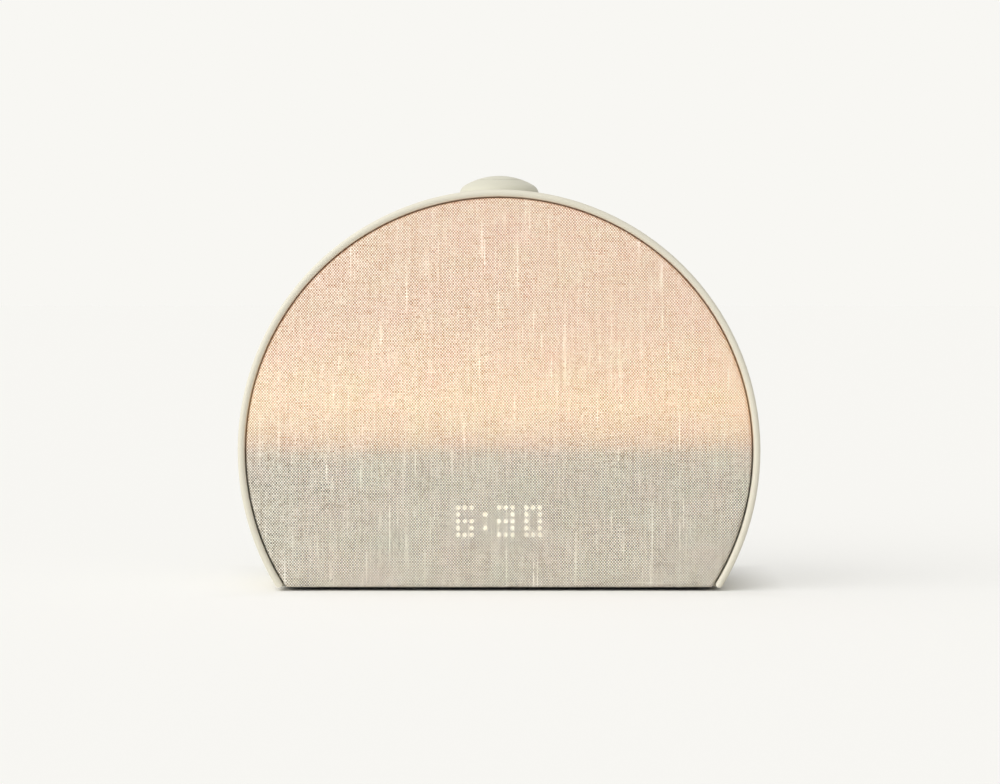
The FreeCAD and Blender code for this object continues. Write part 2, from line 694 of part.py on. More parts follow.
def mainShell():
    """The housing: a turned shell with a round lip, cut flat at the bottom."""
    body = newBody("main_shell")
    lip = size.wall / 2
    turned(body, [
        (front + lip, size.outerRadius, front + lip, size.outerRadius - lip, -1),
        (backStart, size.outerRadius),
        (back, flatRadius, backStart, flatRadius, -1),
        (back, 0),
        (backInside, 0),
        (backInside, flatRadius),
        (backStart, innerRadius, backStart, flatRadius, 1),
        (front + lip, innerRadius),
    ])
    seat = innerRadius + size.postRoot
    turned(body, [(ribFront, ribRadius), (ribBack, ribRadius), (ribBack, seat), (ribFront, seat)])

    # lugs for the chassis, over the upper half
    sketch = faceSketch(body, chassisBack + size.lugLength)
    lugInner = lugCircle - size.lugDrop
    lugMiddle = (lugInner + seat) / 2
    rectangle(sketch, lugMiddle, 0, seat - lugInner, size.lugWidth)
    circle(sketch, lugCircle, 0, biteHole)
    lug = pad(body, sketch, size.lugLength)
    ringAround(body, [lug], sketch, 180, size.lugs)

    # flat underside, its edge rounded
    sketch = levelSketch(body, underside)
    rectangle(sketch, 0, 0, 2 * size.outerRadius, 2 * size.depth)
    pocket(body, sketch, size.outerRadius)
    roundTips(body, size.outerRadius, 1, size.depth)
    roundTips(body, innerRadius, -1, ribFront - front)

    # well for the knob
    sketch = levelSketch(body, wellUnder)
    circle(sketch, 0, knobY, size.knobRadius + size.wellGap + size.wellPadMargin)
    pad(body, sketch, size.wellFloorThickness + size.postRoot)
    sketch = levelSketch(body, topBoardTop)
    posts(body, sketch, topScrews, wellUnder + size.postRoot - topBoardTop)
    sketch = levelSketch(body, size.outerRadius + size.wall)
    circle(sketch, 0, knobY, size.knobRadius + size.wellGap)
    pocket(body, sketch, size.outerRadius + size.wall - wellFloor)
    sketch = levelSketch(body, size.outerRadius + size.wall)
    circle(sketch, 0, knobY, bushOuter)
    pocket(body, sketch, size.outerRadius + size.wall - wellUnder + size.wall)

    # recess and opening for the loudspeaker's grille
    sketch = faceSketch(body, back - size.grilleThickness)
    circle(sketch, 0, size.speakerRise, size.grilleRadius + size.grilleGap)
    pocket(body, sketch, size.wall)
    sketch = faceSketch(body, backInside - size.wall)
    circle(sketch, 0, size.speakerRise, size.speakerOpening)
    pocket(body, sketch, 3 * size.wall)
    postFoot = backInside + size.postRoot
    posts(body, faceSketch(body, postFoot), driverScrews, size.foamThickness + size.postRoot)
    posts(body, faceSketch(body, postFoot), boxScrews, size.boxPostLength + size.postRoot)

    # hole for the power socket
    sketch = faceSketch(body, backInside - size.wall)
    circle(sketch, 0, socketMiddle, size.socketNose + size.socketNoseGap)
    pocket(body, sketch, 3 * size.wall)

    # recess, slot and posts for the alarm slider
    sketch = faceSketch(body, back - size.alarmRecessDepth)
    rectangle(sketch, 0, size.alarmRise, size.alarmRecessWidth, size.alarmRecessHeight)
    pocket(body, sketch, size.wall)
    sketch = faceSketch(body, backInside - size.wall)
    rectangle(sketch, 0, size.alarmRise, alarmSlotWidth, alarmSlotHeight)
    pocket(body, sketch, 3 * size.wall)
    posts(body, faceSketch(body, postFoot), alarmScrews, postFoot - alarmBoardBack)

    # posts and blocks for the base screws
    sketch = levelSketch(body, baseTop)
    for u, v in rearBaseScrews:
        circle(sketch, u, v, size.basePostRadius)
        circle(sketch, u, v, biteHole)
    pad(body, sketch, size.basePostHeight)
    sketch = levelSketch(body, baseTop)
    blockOuter = size.baseBlockInset + size.baseBlockRoot
    blockWidth = size.baseBlockInner + blockOuter
    blockShift = (blockOuter - size.baseBlockInner) / 2
    for side in (1, -1):
        middle = side * (baseBlockSpread + blockShift)
        rectangle(sketch, middle, -size.baseBlockSetback, blockWidth, size.baseBlockLength)
        circle(sketch, side * baseBlockSpread, -size.baseBlockSetback, biteHole)
    pad(body, sketch, size.baseBlockHeight)


def frontFabric():
    """Fabric stretched over the front panel and folded back at its edge."""
    body = newBody("front_fabric")
    edge = fabricFront + size.fabricWrap
    sketch = faceSketch(body, edge)
    flatBottomCircle(sketch, fabricRadius, underside, halves=True)
    block = pad(body, sketch, size.fabricWrap)
    roundEdges(body, block, size.fabricRound, atDepth(fabricFront))
    sketch = faceSketch(body, edge)
    flatBottomCircle(sketch, panelRadius, panelFloor, halves=True)
    hollow = pocket(body, sketch, size.fabricWrap - size.fabricThickness, False)
    roundEdges(body, hollow, size.fabricRound - size.fabricThickness, atDepth(panelFront))


def frontPanel():
    """Milky panel behind the fabric, with a rim and snap arms that hook behind the rib."""
    body = newBody("front_panel")
    sketch = faceSketch(body, panelRimBack)
    flatBottomCircle(sketch, panelRadius, panelFloor, halves=True)
    block = pad(body, sketch, size.panelDepth)
    roundEdges(body, block, size.fabricRound - size.fabricThickness, atDepth(panelFront))
    sketch = faceSketch(body, panelRimBack)
    flatBottomCircle(sketch, panelRadius - size.panelRim, panelFloor + size.panelRim)
    pocket(body, sketch, size.panelDepth - size.panelThickness, False)
    barbFront = ribBack + size.barbPlay
    armBack = barbFront + size.barbLength
    armSketch = faceSketch(body, armBack)
    rectangle(armSketch, armOuter - size.armThickness / 2, 0, size.armThickness, size.armWidth)
    arm = pad(body, armSketch, armBack - panelBack + size.postRoot)
    sketch = faceSketch(body, armBack)
    barbWidth = size.barbHeight + size.armThickness / 2
    rectangle(sketch, armOuter + size.barbHeight - barbWidth / 2, 0, barbWidth, size.armWidth)
    barb = pad(body, sketch, size.barbLength)
    ringAround(body, [arm, barb], armSketch, 180, size.arms)


def panelGasket():
    """Foam ring that the panel presses on the rib."""
    body = newBody("panel_gasket")
    outer = panelRadius - size.gasketInset
    turned(body, [
        (panelRimBack, ribRadius),
        (ribFront, ribRadius),
        (ribFront, outer),
        (panelRimBack, outer),
    ])
    sketch = levelSketch(body, baseTop)
    rectangle(sketch, 0, 0, 2 * size.outerRadius, 2 * size.depth)
    pocket(body, sketch, size.outerRadius)


def sunriseLight():
    """Diffuser, reflector, light board and its chips: they light the upper part of the fabric."""
    body = newBody("diffuser_sheet")
    sketch = faceSketch(body, diffuserBack)
    flatBottomCircle(sketch, diffuserRadius, -size.reflectorFloor)
    pad(body, sketch, size.diffuserThickness)

    body = newBody("light_reflector")
    floor = -size.reflectorFloor
    rear = chassisFront
    wall = size.reflectorWall
    turned(body, [
        (diffuserBack, diffuserRadius),
        (diffuserBack, diffuserRadius - wall),
        (rear - wall, reflectorRadius - wall),
        (rear - wall, 0),
        (rear, 0),
        (rear, reflectorRadius),
    ])
    sketch = levelSketch(body, floor)
    rectangle(sketch, 0, 0, 2 * size.outerRadius, 2 * size.depth)
    pocket(body, sketch, size.outerRadius)
    sketch = levelSketch(body, floor)
    inset = wall / 2
    outline(sketch, [
        (diffuserRadius - inset, diffuserBack),
        (reflectorRadius - inset, rear),
        (inset - reflectorRadius, rear),
        (inset - diffuserRadius, diffuserBack),
    ])
    pad(body, sketch, wall)
    sketch = faceSketch(body, rear - 2 * wall)
    for u, v in reflectorScrews:
        circle(sketch, u, v, passHole)
    pocket(body, sketch, 4 * wall)

    body = newBody("led_board")
    boardY = diffuserBack + size.ledBoardInset
    sketch = levelSketch(body, floor + wall)
    boardLength = 2 * (reflectorRadius - size.ledBoardEnd)
    rectangle(sketch, 0, boardY, boardLength, size.ledBoardDepth)
    pad(body, sketch, size.ledBoardThickness)

    body = newBody("light_leds")
    sketch = levelSketch(body, floor + wall + size.ledBoardThickness)
    pitch = boardLength / size.leds
    rectangle(sketch, (pitch - boardLength) / 2, boardY, size.ledSide, size.ledSide)
    chip = pad(body, sketch, size.ledHeight)
    rowOf(body, [chip], sketch, pitch, size.leds)

    shank = wall + size.chassisThickness + size.screwTip
    screws("reflector_screws", "front", rear - wall, shank, reflectorScrews)


def display():
    """Dot display: a baffle with one cell per dot, and a chip at the foot of each cell."""
    spanX = size.dotPitch * (size.dotColumns - 1)
    spanZ = size.dotPitch * (size.dotRows - 1)
    firstX = -spanX / 2
    firstZ = displayMiddle - spanZ / 2
    margin = size.cellSide + 2 * size.baffleEdge

    body = newBody("display_baffle")
    sketch = faceSketch(body, baffleBack)
    rectangle(sketch, 0, displayMiddle, spanX + margin, spanZ + margin)
    pad(body, sketch, size.baffleDepth)
    sketch = faceSketch(body, panelBack)
    rectangle(sketch, firstX, firstZ, size.cellSide, size.cellSide)
    cell = pocket(body, sketch, size.baffleDepth)
    gridOf(body, [cell], sketch, size.dotPitch, size.dotColumns, size.dotRows)

    body = newBody("display_leds")
    sketch = faceSketch(body, baffleBack)
    rectangle(sketch, firstX, firstZ, size.displayLedSide, size.displayLedSide)
    chip = pad(body, sketch, size.displayLedHeight)
    gridOf(body, [chip], sketch, size.dotPitch, size.dotColumns, size.dotRows)

    body = newBody("display_board")
    sketch = faceSketch(body, displayBoardBack)
    rectangle(sketch, 0, displayMiddle, size.displayBoardWidth, size.displayBoardHeight)
    for u, v in displayScrews:
        circle(sketch, u, v, passHole)
    pad(body, sketch, size.boardThickness)

    screws("display_screws", "front", baffleBack, chassisFront - baffleBack, displayScrews)


def chassis():
    """Inner plate that carries the display, the reflector and the main board."""
    body = newBody("chassis")
    sketch = faceSketch(body, chassisBack)
    flatBottomCircle(sketch, chassisRadius, -size.chassisFloor)
    for u, v in reflectorScrews:
        circle(sketch, u, v, biteHole)
    for side in (1, -1):
        windowX = side * (size.displayBoardWidth / 2 + size.windowWidth / 2)
        rectangle(sketch, windowX, displayMiddle - size.windowHeight, size.windowWidth, size.windowHeight)
    pad(body, sketch, size.chassisThickness)
    sketch = faceSketch(body, chassisFront)
    posts(body, sketch, displayScrews, chassisFront - displayBoardBack)
    sketch = faceSketch(body, mainBoardFront)
    posts(body, sketch, mainBoardScrews, size.mainBoardGap)
    sketch = faceSketch(body, chassisFront)
    circle(sketch, lugCircle, 0, passHole)
    hole = pocket(body, sketch, size.chassisThickness)
    ringAround(body, [hole], sketch, 180, size.lugs)

    body = newBody("chassis_screws")
    features = []
    for radius, length, forward in (
        (size.screwHead, size.screwHeadHeight, True),
        (size.screwRadius, size.chassisThickness + size.lugLength, False),
    ):
        sketch = faceSketch(body, chassisFront)
        circle(sketch, lugCircle, 0, radius)
        features.append(pad(body, sketch, length, forward))
    ringAround(body, features, sketch, 180, size.lugs)


def mainBoard():
    """Main board on the back of the chassis, with its radio module and chips."""
    body = newBody("main_board")
    sketch = faceSketch(body, mainBoardBack)
    rectangle(sketch, 0, mainBoardMiddle, size.mainBoardWidth, size.mainBoardHeight)
    for u, v in mainBoardScrews:
        circle(sketch, u, v, passHole)
    pad(body, sketch, size.boardThickness)

    body = newBody("wifi_module")
    sketch = faceSketch(body, mainBoardBack)
    moduleX = -size.mainBoardWidth / 4
    rectangle(sketch, moduleX, mainBoardMiddle, size.moduleWidth, size.moduleHeight)
    pad(body, sketch, size.moduleThickness, False)

    body = newBody("board_chips")
    sketch = faceSketch(body, mainBoardBack)
    rectangle(sketch, size.mainBoardWidth / 8, mainBoardMiddle, size.chipSide, size.chipSide)
    memoryX = size.mainBoardWidth / 8 + 1.5 * size.chipSide
    rectangle(sketch, memoryX, mainBoardMiddle, size.chipSide / 2, size.chipSide)
    pad(body, sketch, size.chipThickness, False)

    shank = mainBoardBack - chassisBack
    screws("main_board_screws", "back", mainBoardBack, shank, mainBoardScrews)


def powerInlet():
    """Power board above the base, with the barrel socket at the back wall."""
    body = newBody("power_board")
    sketch = levelSketch(body, powerBoardFoot)
    rectangle(sketch, 0, powerBoardMiddle, size.powerBoardWidth, size.powerBoardDepth)
    for u, v in powerScrews:
        circle(sketch, u, v, passHole)
    pad(body, sketch, size.boardThickness)

    body = newBody("power_socket")
    noseEnd = back - size.socketNoseInset
    sketch = faceSketch(body, backInside)
    rectangle(sketch, 0, socketMiddle, size.socketSide, size.socketSide)
    pad(body, sketch, size.socketLength)
    sketch = faceSketch(body, noseEnd)
    circle(sketch, 0, socketMiddle, size.socketNose)
    pad(body, sketch, noseEnd - backInside + size.postRoot)
    sketch = faceSketch(body, noseEnd - size.socketBoreDepth)
    circle(sketch, 0, socketMiddle, size.socketBore)
    circle(sketch, 0, socketMiddle, size.socketPin)
    pocket(body, sketch, size.socketBoreDepth)
    sketch = faceSketch(body, noseEnd - size.socketPinInset)
    circle(sketch, 0, socketMiddle, size.socketPin + size.threadFit)
    pocket(body, sketch, size.socketPinInset)

    shank = powerBoardTop - baseTop + size.blindHole
    screws("power_board_screws", "above", powerBoardTop, shank, powerScrews)


def speakerFace():
    """Slotted grille, dust mesh and foam ring at the back wall."""
    body = newBody("speaker_grille", z=speakerAxis)
    sketch = faceSketch(body, back)
    circle(sketch, 0, 0, size.grilleRadius)
    pad(body, sketch, size.grilleThickness)
    sketch = faceSketch(body, back - size.grilleThickness)
    for index in range(slotCount):
        share = 2 * (index + 1) / (slotCount + 1) - 1
        middle = size.slotReach * share
        length = 2 * root(size.slotReach * size.slotReach - middle * middle)
        rectangle(sketch, 0, middle, length, size.slotWidth)
    pocket(body, sketch, size.grilleThickness)

    body = newBody("speaker_mesh", z=speakerAxis)
    sketch = faceSketch(body, back - size.grilleThickness)
    circle(sketch, 0, 0, size.speakerOpening - size.meshGap)
    pad(body, sketch, size.meshThickness)

    body = newBody("speaker_gasket", z=speakerAxis)
    sketch = faceSketch(body, backInside)
    foamInner = size.flangeHole + size.surroundLip + size.foamGap
    circle(sketch, 0, 0, foamInner + size.foamWidth)
    circle(sketch, 0, 0, foamInner)
    pad(body, sketch, size.foamThickness)


def speakerDriver():
    """Loudspeaker that looks to the back: frame, rubber roll, paper cone and magnet."""
    flangeBack = backInside - size.foamThickness
    flangeFront = flangeBack - size.flangeThickness
    floorFront = flangeFront - size.basketDepth
    floorBack = floorFront + size.basketWall

    body = newBody("speaker_frame", z=speakerAxis)
    sketch = faceSketch(body, flangeBack)
    side = size.flangeSide
    roundedRectangle(sketch, 0, 0, side, side, size.flangeCorner)
    circle(sketch, 0, 0, size.flangeHole)
    for u, v in driverScrews:
        circle(sketch, u, v - size.speakerRise, passHole)
    pad(body, sketch, size.flangeThickness)
    wall = size.basketWall
    turned(body, [
        (floorFront, size.coneNeck),
        (floorBack, size.coneNeck),
        (floorBack, size.basketFloorRadius - wall),
        (flangeBack, size.basketMouth - wall),
        (flangeBack, size.basketMouth),
        (floorFront, size.basketFloorRadius),
    ])
    sketch = faceSketch(body, floorBack + wall)
    windowMiddle = (size.basketFloorRadius + size.basketMouth) / 2
    windowReach = size.basketMouth - size.basketFloorRadius + wall
    rectangle(sketch, windowMiddle, 0, windowReach, size.basketWindow)
    window = pocket(body, sketch, size.basketDepth - 4 * wall)
    ringAround(body, [window], sketch, 360, 4)

    body = newBody("speaker_surround", z=speakerAxis)
    inner = size.flangeHole - size.surroundWidth
    middle = size.flangeHole - size.surroundWidth / 2
    thick = size.surroundThickness
    seat = flangeBack + thick
    inside = size.surroundRoll
    outside = inside + thick
    turned(body, [
        (seat, middle + outside, seat, middle, 1),
        (seat, size.flangeHole + size.surroundLip),
        (flangeBack, size.flangeHole + size.surroundLip),
        (flangeBack, middle + inside),
        (seat, middle + inside),
        (seat, middle - inside, seat, middle, -1),
        (flangeBack, middle - inside),
        (flangeBack, inner),
        (seat, inner),
        (seat, middle - outside),
    ])

    body = newBody("speaker_cone", z=speakerAxis)
    edge = inner + thick
    coneBack = flangeBack
    neckFront = coneBack - size.coneDepth
    skin = size.coneThickness
    turned(body, [
        (coneBack, edge),
        (coneBack - skin, edge),
        (neckFront - skin, size.coneNeck),
        (neckFront - skin, size.coneNeck - skin),
        (neckFront + size.capRise, 0),
        (neckFront + size.capRise + skin, 0),
        (neckFront + skin, size.coneNeck),
    ])

    body = newBody("speaker_magnet", z=speakerAxis)
    plate = size.plateThickness
    rim = size.magnetRadius - size.magnetStep
    magnetFront = floorFront - size.magnetDepth
    turned(body, [
        (floorFront, 0),
        (magnetFront, 0),
        (magnetFront, rim),
        (magnetFront + plate, rim),
        (magnetFront + plate, size.magnetRadius),
        (floorFront - plate, size.magnetRadius),
        (floorFront - plate, rim),
        (floorFront, rim),
    ])

    shank = size.flangeThickness + size.foamThickness
    screws("speaker_screws", "front", flangeFront, shank, driverScrews)


def speakerBox():
    """Closed box round the loudspeaker, screwed to the back wall by four ears."""
    body = newBody("speaker_box", z=speakerAxis)
    closed = backInside - size.boxDepth
    outer = size.boxRadius
    inner = outer - size.boxWall
    taperEnd = closed + size.boxTaper
    earBack = backInside - size.boxPostLength
    earFront = earBack - size.boxEarThickness
    side = 2 * (earReach + size.boxEarRadius)
    sketch = faceSketch(body, earBack)
    roundedRectangle(sketch, 0, 0, side, side, size.boxEarRadius)
    pad(body, sketch, size.boxEarThickness)
    sketch = faceSketch(body, earFront)
    circle(sketch, 0, 0, outer - size.boxWall / 2)
    pocket(body, sketch, size.boxEarThickness)
    turned(body, [
        (backInside, outer),
        (backInside, inner),
        (taperEnd, inner),
        (closed + size.boxWall, inner - size.boxTaper),
        (closed + size.boxWall, 0),
        (closed, 0),
        (closed, outer - size.boxTaper),
        (taperEnd, outer),
    ])
    sketch = faceSketch(body, earFront)
    for u, v in boxScrews:
        circle(sketch, u, v - size.speakerRise, passHole)
    pocket(body, sketch, size.boxEarThickness)
    shank = size.boxEarThickness + size.boxPostLength
    screws("speaker_box_screws", "front", earFront, shank, boxScrews)


def knob():
    """Volume knob: a turning ring with a hub in a bush, and a button in its middle."""
    place = {"y": knobY}
    edge = size.knobEdgeRound
    rise = size.knobDome
    run = size.knobRadius - edge
    crown = (run * run + rise * rise - edge * edge) / (2 * (rise - edge))
    crownCentre = domeFoot + rise - crown
    share = crown / (crown - edge)
    touchX = run * share
    touchZ = crownCentre + (crown - rise) * share
    bore = size.buttonRadius + size.buttonGap
    ringTop = crownCentre + root(crown * crown - bore * bore)

    body = newBody("dial_ring", **place)
    groove = size.hubRadius - size.clipGroove
    clipTop = wellUnder - size.clipDrop
    clipFoot = clipTop - size.clipThickness
    turnedUpright(body, [
        (size.knobRadius, knobFoot),
        (size.knobRadius, domeFoot),
        (touchX, touchZ, run, domeFoot, 1),
        (bore, ringTop, 0, crownCentre, 1),
        (bore, webTop),
        (size.hubBore, webTop),
        (size.hubBore, hubFoot),
        (size.hubRadius, hubFoot),
        (size.hubRadius, clipFoot),
        (groove, clipFoot),
        (groove, clipTop),
        (size.hubRadius, clipTop),
        (size.hubRadius, knobFoot),
    ])

    body = newBody("dial_bush", **place)
    inside = size.hubRadius + size.bushGap
    flange = bushOuter + size.bushFlange
    turnedUpright(body, [
        (inside, wellUnder),
        (bushOuter, wellUnder),
        (bushOuter, wellFloor),
        (flange, wellFloor),
        (flange, wellFloor + size.bushFlangeThickness),
        (inside, wellFloor + size.bushFlangeThickness),
    ])

    body = newBody("dial_clip", **place)
    sketch = levelSketch(body, clipFoot)
    circle(sketch, 0, 0, groove + size.clipWidth)
    circle(sketch, 0, 0, groove)
    pad(body, sketch, size.clipThickness)
    sketch = levelSketch(body, clipTop)
    rectangle(sketch, groove + size.clipWidth / 2, 0, 2 * size.clipWidth, size.clipMouth)
    pocket(body, sketch, size.clipThickness)

    body = newBody("encoder_magnet", **place)
    sketch = levelSketch(body, dialMagnetFoot)
    circle(sketch, 0, 0, size.hubRadius)
    circle(sketch, 0, 0, size.hubRadius - size.dialMagnetWidth)
    pad(body, sketch, size.dialMagnetThickness)

    body = newBody("button_cap", **place)
    buttonFoot = webTop + size.buttonTravel + size.buttonRest
    buttonEdge = crownCentre + root(crown * crown - size.buttonRadius * size.buttonRadius)
    stem = size.hubBore - size.stemGap
    ceiling = buttonEdge - size.buttonWall
    turnedUpright(body, [
        (0, retainerTop),
        (stem, retainerTop),
        (stem, ceiling),
        (size.buttonRadius - size.buttonWall, ceiling),
        (size.buttonRadius - size.buttonWall, buttonFoot),
        (size.buttonRadius, buttonFoot),
        (size.buttonRadius, buttonEdge),
        (0, domeFoot + rise, 0, crownCentre, 1),
    ])

    body = newBody("button_retainer", **place)
    sketch = levelSketch(body, retainerFoot)
    circle(sketch, 0, 0, size.retainerRadius)
    pad(body, sketch, size.retainerThickness)


def knobBoard():
    """Board under the knob, with the push switch and the turn sensor."""
    place = {"y": knobY}
    body = newBody("top_board", **place)
    sketch = levelSketch(body, topBoardFoot)
    rectangle(sketch, 0, 0, size.topBoardWidth, size.topBoardDepth)
    for u, v in topScrews:
        circle(sketch, u, 0, passHole)
    pad(body, sketch, size.thinBoard)

    body = newBody("tact_switch", **place)
    sketch = levelSketch(body, topBoardTop)
    rectangle(sketch, 0, 0, size.tactSide, size.tactSide)
    pad(body, sketch, size.tactHeight / 2)
    sketch = levelSketch(body, topBoardTop)
    circle(sketch, 0, 0, size.tactSide / 4)
    pad(body, sketch, size.tactHeight)

    body = newBody("hall_sensor", **place)
    sensorY = size.hubRadius + size.hallGap + size.hallThickness / 2
    sensorFoot = dialMagnetFoot - size.dialMagnetThickness / 2
    sketch = levelSketch(body, sensorFoot)
    rectangle(sketch, 0, sensorY, size.hallWidth, size.hallThickness)
    pad(body, sketch, size.hallHeight)
    sketch = levelSketch(body, topBoardTop)
    for step in (-1, 0, 1):
        rectangle(sketch, step * size.hallLegPitch, sensorY, size.hallLeg, size.hallLeg)
    pad(body, sketch, sensorFoot - topBoardTop)

    shank = size.thinBoard + size.screwBite
    screws("top_board_screws", "below", topBoardFoot, shank, topScrews)


# Alarm slider: its slot in the back wall, and the board behind it
alarmSlotWidth = size.alarmKnobWidth + size.alarmTravel + 2 * size.alarmFit
alarmSlotHeight = size.alarmKnobHeight + 2 * size.alarmFit
flangePlay = size.alarmFit
flangeBackY = backInside - flangePlay
flangeFrontY = flangeBackY - size.alarmFlangeThickness
switchBack = flangeFrontY - size.alarmSwitchGap
alarmBoardBack = switchBack - size.alarmSwitchDepth
alarmBoardFront = alarmBoardBack - size.thinBoard


def alarmSwitch():
    """Alarm on and off: a slider in the back wall that carries the lever of a slide switch."""
    restX = -size.alarmTravel / 2
    flangeWidth = alarmSlotWidth + 2 * size.alarmFlangeMargin
    flangeHeight = alarmSlotHeight + 2 * size.alarmFlangeMargin

    body = newBody("alarm_slider")
    sketch = faceSketch(body, flangeBackY)
    rectangle(sketch, restX, size.alarmRise, flangeWidth, flangeHeight)
    pad(body, sketch, size.alarmFlangeThickness)
    knobEnd = back - size.alarmKnobInset
    sketch = faceSketch(body, knobEnd)
    rectangle(sketch, restX, size.alarmRise, size.alarmKnobWidth, size.alarmKnobHeight)
    pad(body, sketch, knobEnd - flangeBackY + size.alarmFlangeThickness / 2)
    sketch = faceSketch(body, flangeFrontY)
    rectangle(sketch, restX, size.alarmRise, size.alarmTongueWidth, size.alarmTongueWidth)
    pad(body, sketch, size.alarmTongueLength)

    body = newBody("slide_switch")
    sketch = faceSketch(body, switchBack)
    rectangle(sketch, 0, size.alarmRise, size.alarmSwitchWidth, size.alarmSwitchHeight)
    pad(body, sketch, size.alarmSwitchDepth)
    sketch = faceSketch(body, flangeFrontY - size.alarmTongueLength - size.alarmSwitchGap)
    grooveWidth = size.alarmTravel + size.alarmTongueWidth + 2 * size.alarmSwitchGap
    grooveHeight = size.alarmTongueWidth + 2 * size.alarmSwitchGap
    rectangle(sketch, 0, size.alarmRise, grooveWidth, grooveHeight)
    pocket(body, sketch, size.alarmTongueLength + size.alarmSwitchGap)

    body = newBody("switch_board")
    sketch = faceSketch(body, alarmBoardBack)
    rectangle(sketch, 0, size.alarmRise, size.alarmBoardWidth, size.alarmBoardHeight)
    for u, v in alarmScrews:
        circle(sketch, u, v, passHole)
    pad(body, sketch, size.thinBoard)

    shank = size.thinBoard + backInside - alarmBoardBack
    screws("switch_screws", "front", alarmBoardFront, shank, alarmScrews)


def base():
    """Base plate that closes the housing from below, its screws and the rubber foot."""
    plateFront = panelRimBack + size.baseFrontGap
    outer = innerRadius - size.baseGap
    edgeBack = backInside - size.baseGap

    body = newBody("base_plate")
    notch = ribRadius - size.baseGap
    notchBack = ribBack + size.baseGap
    turned(body, [
        (plateFront, 0),
        (edgeBack, 0),
        (edgeBack, flatRadius),
        (backStart, outer, backStart, flatRadius, 1),
        (notchBack, outer),
        (notchBack, notch),
        (plateFront, notch),
    ])
    sketch = levelSketch(body, baseTop)
    rectangle(sketch, 0, 0, 3 * size.outerRadius, 2 * size.depth)
    pocket(body, sketch, 3 * size.outerRadius, False)
    sketch = levelSketch(body, underside)
    rectangle(sketch, 0, 0, 3 * size.outerRadius, 2 * size.depth)
    pocket(body, sketch, 2 * size.outerRadius)
    sketch = levelSketch(body, baseTop)
    posts(body, sketch, powerScrews, powerBoardFoot - baseTop)
    sketch = levelSketch(body, baseTop)
    for u, v in powerScrews:
        circle(sketch, u, v, biteHole)
    pocket(body, sketch, size.blindHole)
    baseScrews = rearBaseScrews + frontBaseScrews
    sketch = levelSketch(body, baseTop)
    for u, v in baseScrews:
        circle(sketch, u, v, passHole)
    pocket(body, sketch, size.baseThickness)
    sketch = levelSketch(body, underside + size.baseHeadDepth)
    for u, v in baseScrews:
        circle(sketch, u, v, size.screwHead + size.passFit)
    pocket(body, sketch, size.baseHeadDepth)

    shank = size.baseThickness - size.baseHeadDepth + size.baseBlockHeight
    screws("base_screws", "below", underside + size.baseHeadDepth, shank, baseScrews)

    body = newBody("foot_pad")
    sketch = levelSketch(body, -size.centreHeight)
    plateHalf = root(outer * outer - underside * underside)
    footWidth = 2 * (plateHalf - size.footSideInset)
    footDepth = size.depth - 2 * size.footEndInset
    roundedRectangle(sketch, 0, 0, footWidth, footDepth, size.footCorner)
    pad(body, sketch, size.footThickness)


speakerAxis = size.centreHeight + size.speakerRise

mainShell()
frontFabric()
frontPanel()
panelGasket()
sunriseLight()
display()
chassis()
mainBoard()
powerInlet()
speakerFace()
speakerDriver()
speakerBox()
knob()
knobBoard()
alarmSwitch()
base()
doc.recompute()


def check():
    """Stops before anything is written if a feature failed, a cut cut nothing or a shape is bad."""
    for thing in doc.Objects:
        if "Invalid" in thing.State or "Error" in thing.State:
            raise RuntimeError("%s failed: %s" % (thing.Label, thing.State))
        if thing.TypeId == "PartDesign::Pocket":
            before = thing.BaseFeature.Shape.Volume
            if not thing.Shape.Volume < before:
                raise RuntimeError("%s cuts nothing" % thing.Label)
    for piece in pieces:
        if piece.Shape.isNull() or not piece.Shape.isValid():
            raise RuntimeError("%s has no valid shape" % piece.Label)


check()
os.makedirs("parts", exist_ok=True)
for piece in pieces:
    piece.Shape.exportStep("parts/%s.step" % piece.Label)
    print(piece.Label, len(piece.Shape.Solids), round(piece.Shape.Volume, 1))
print(len(pieces), "pieces")
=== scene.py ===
import math

import bmesh
import bpy
from mathutils import Matrix, Vector


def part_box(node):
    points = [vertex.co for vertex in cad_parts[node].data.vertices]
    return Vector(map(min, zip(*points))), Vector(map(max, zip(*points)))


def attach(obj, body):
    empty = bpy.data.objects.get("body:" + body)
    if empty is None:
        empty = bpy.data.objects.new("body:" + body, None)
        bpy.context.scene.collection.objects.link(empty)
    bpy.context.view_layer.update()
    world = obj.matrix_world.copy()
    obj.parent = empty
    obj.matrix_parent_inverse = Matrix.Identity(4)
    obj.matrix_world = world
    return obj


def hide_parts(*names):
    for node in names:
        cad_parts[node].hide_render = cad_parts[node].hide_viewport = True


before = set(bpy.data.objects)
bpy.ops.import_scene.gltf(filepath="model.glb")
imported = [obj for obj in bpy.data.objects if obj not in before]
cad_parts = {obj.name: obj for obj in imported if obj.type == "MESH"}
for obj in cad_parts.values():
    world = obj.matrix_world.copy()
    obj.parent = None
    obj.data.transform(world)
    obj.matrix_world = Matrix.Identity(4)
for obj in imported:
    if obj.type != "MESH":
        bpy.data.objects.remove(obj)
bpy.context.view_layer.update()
print("frame loaded")

# The circle of the housing, read from the frame
shellLow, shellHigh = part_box("main_shell")
outerRadius = (shellHigh.x - shellLow.x) / 2
centreZ = shellHigh.z - outerRadius
frontY = shellLow.y

camera = {
    "distance": 1.4,  # from the aim point
    "aimX": 0.0004,
    "aimHeight": 0.0802,
    "azimuth": 0.1,
    "elevation": 2.5,
    "lens": 125.7,
    "sensor": 36,
    "clipStart": 0.05,
    "clipEnd": 20,
}


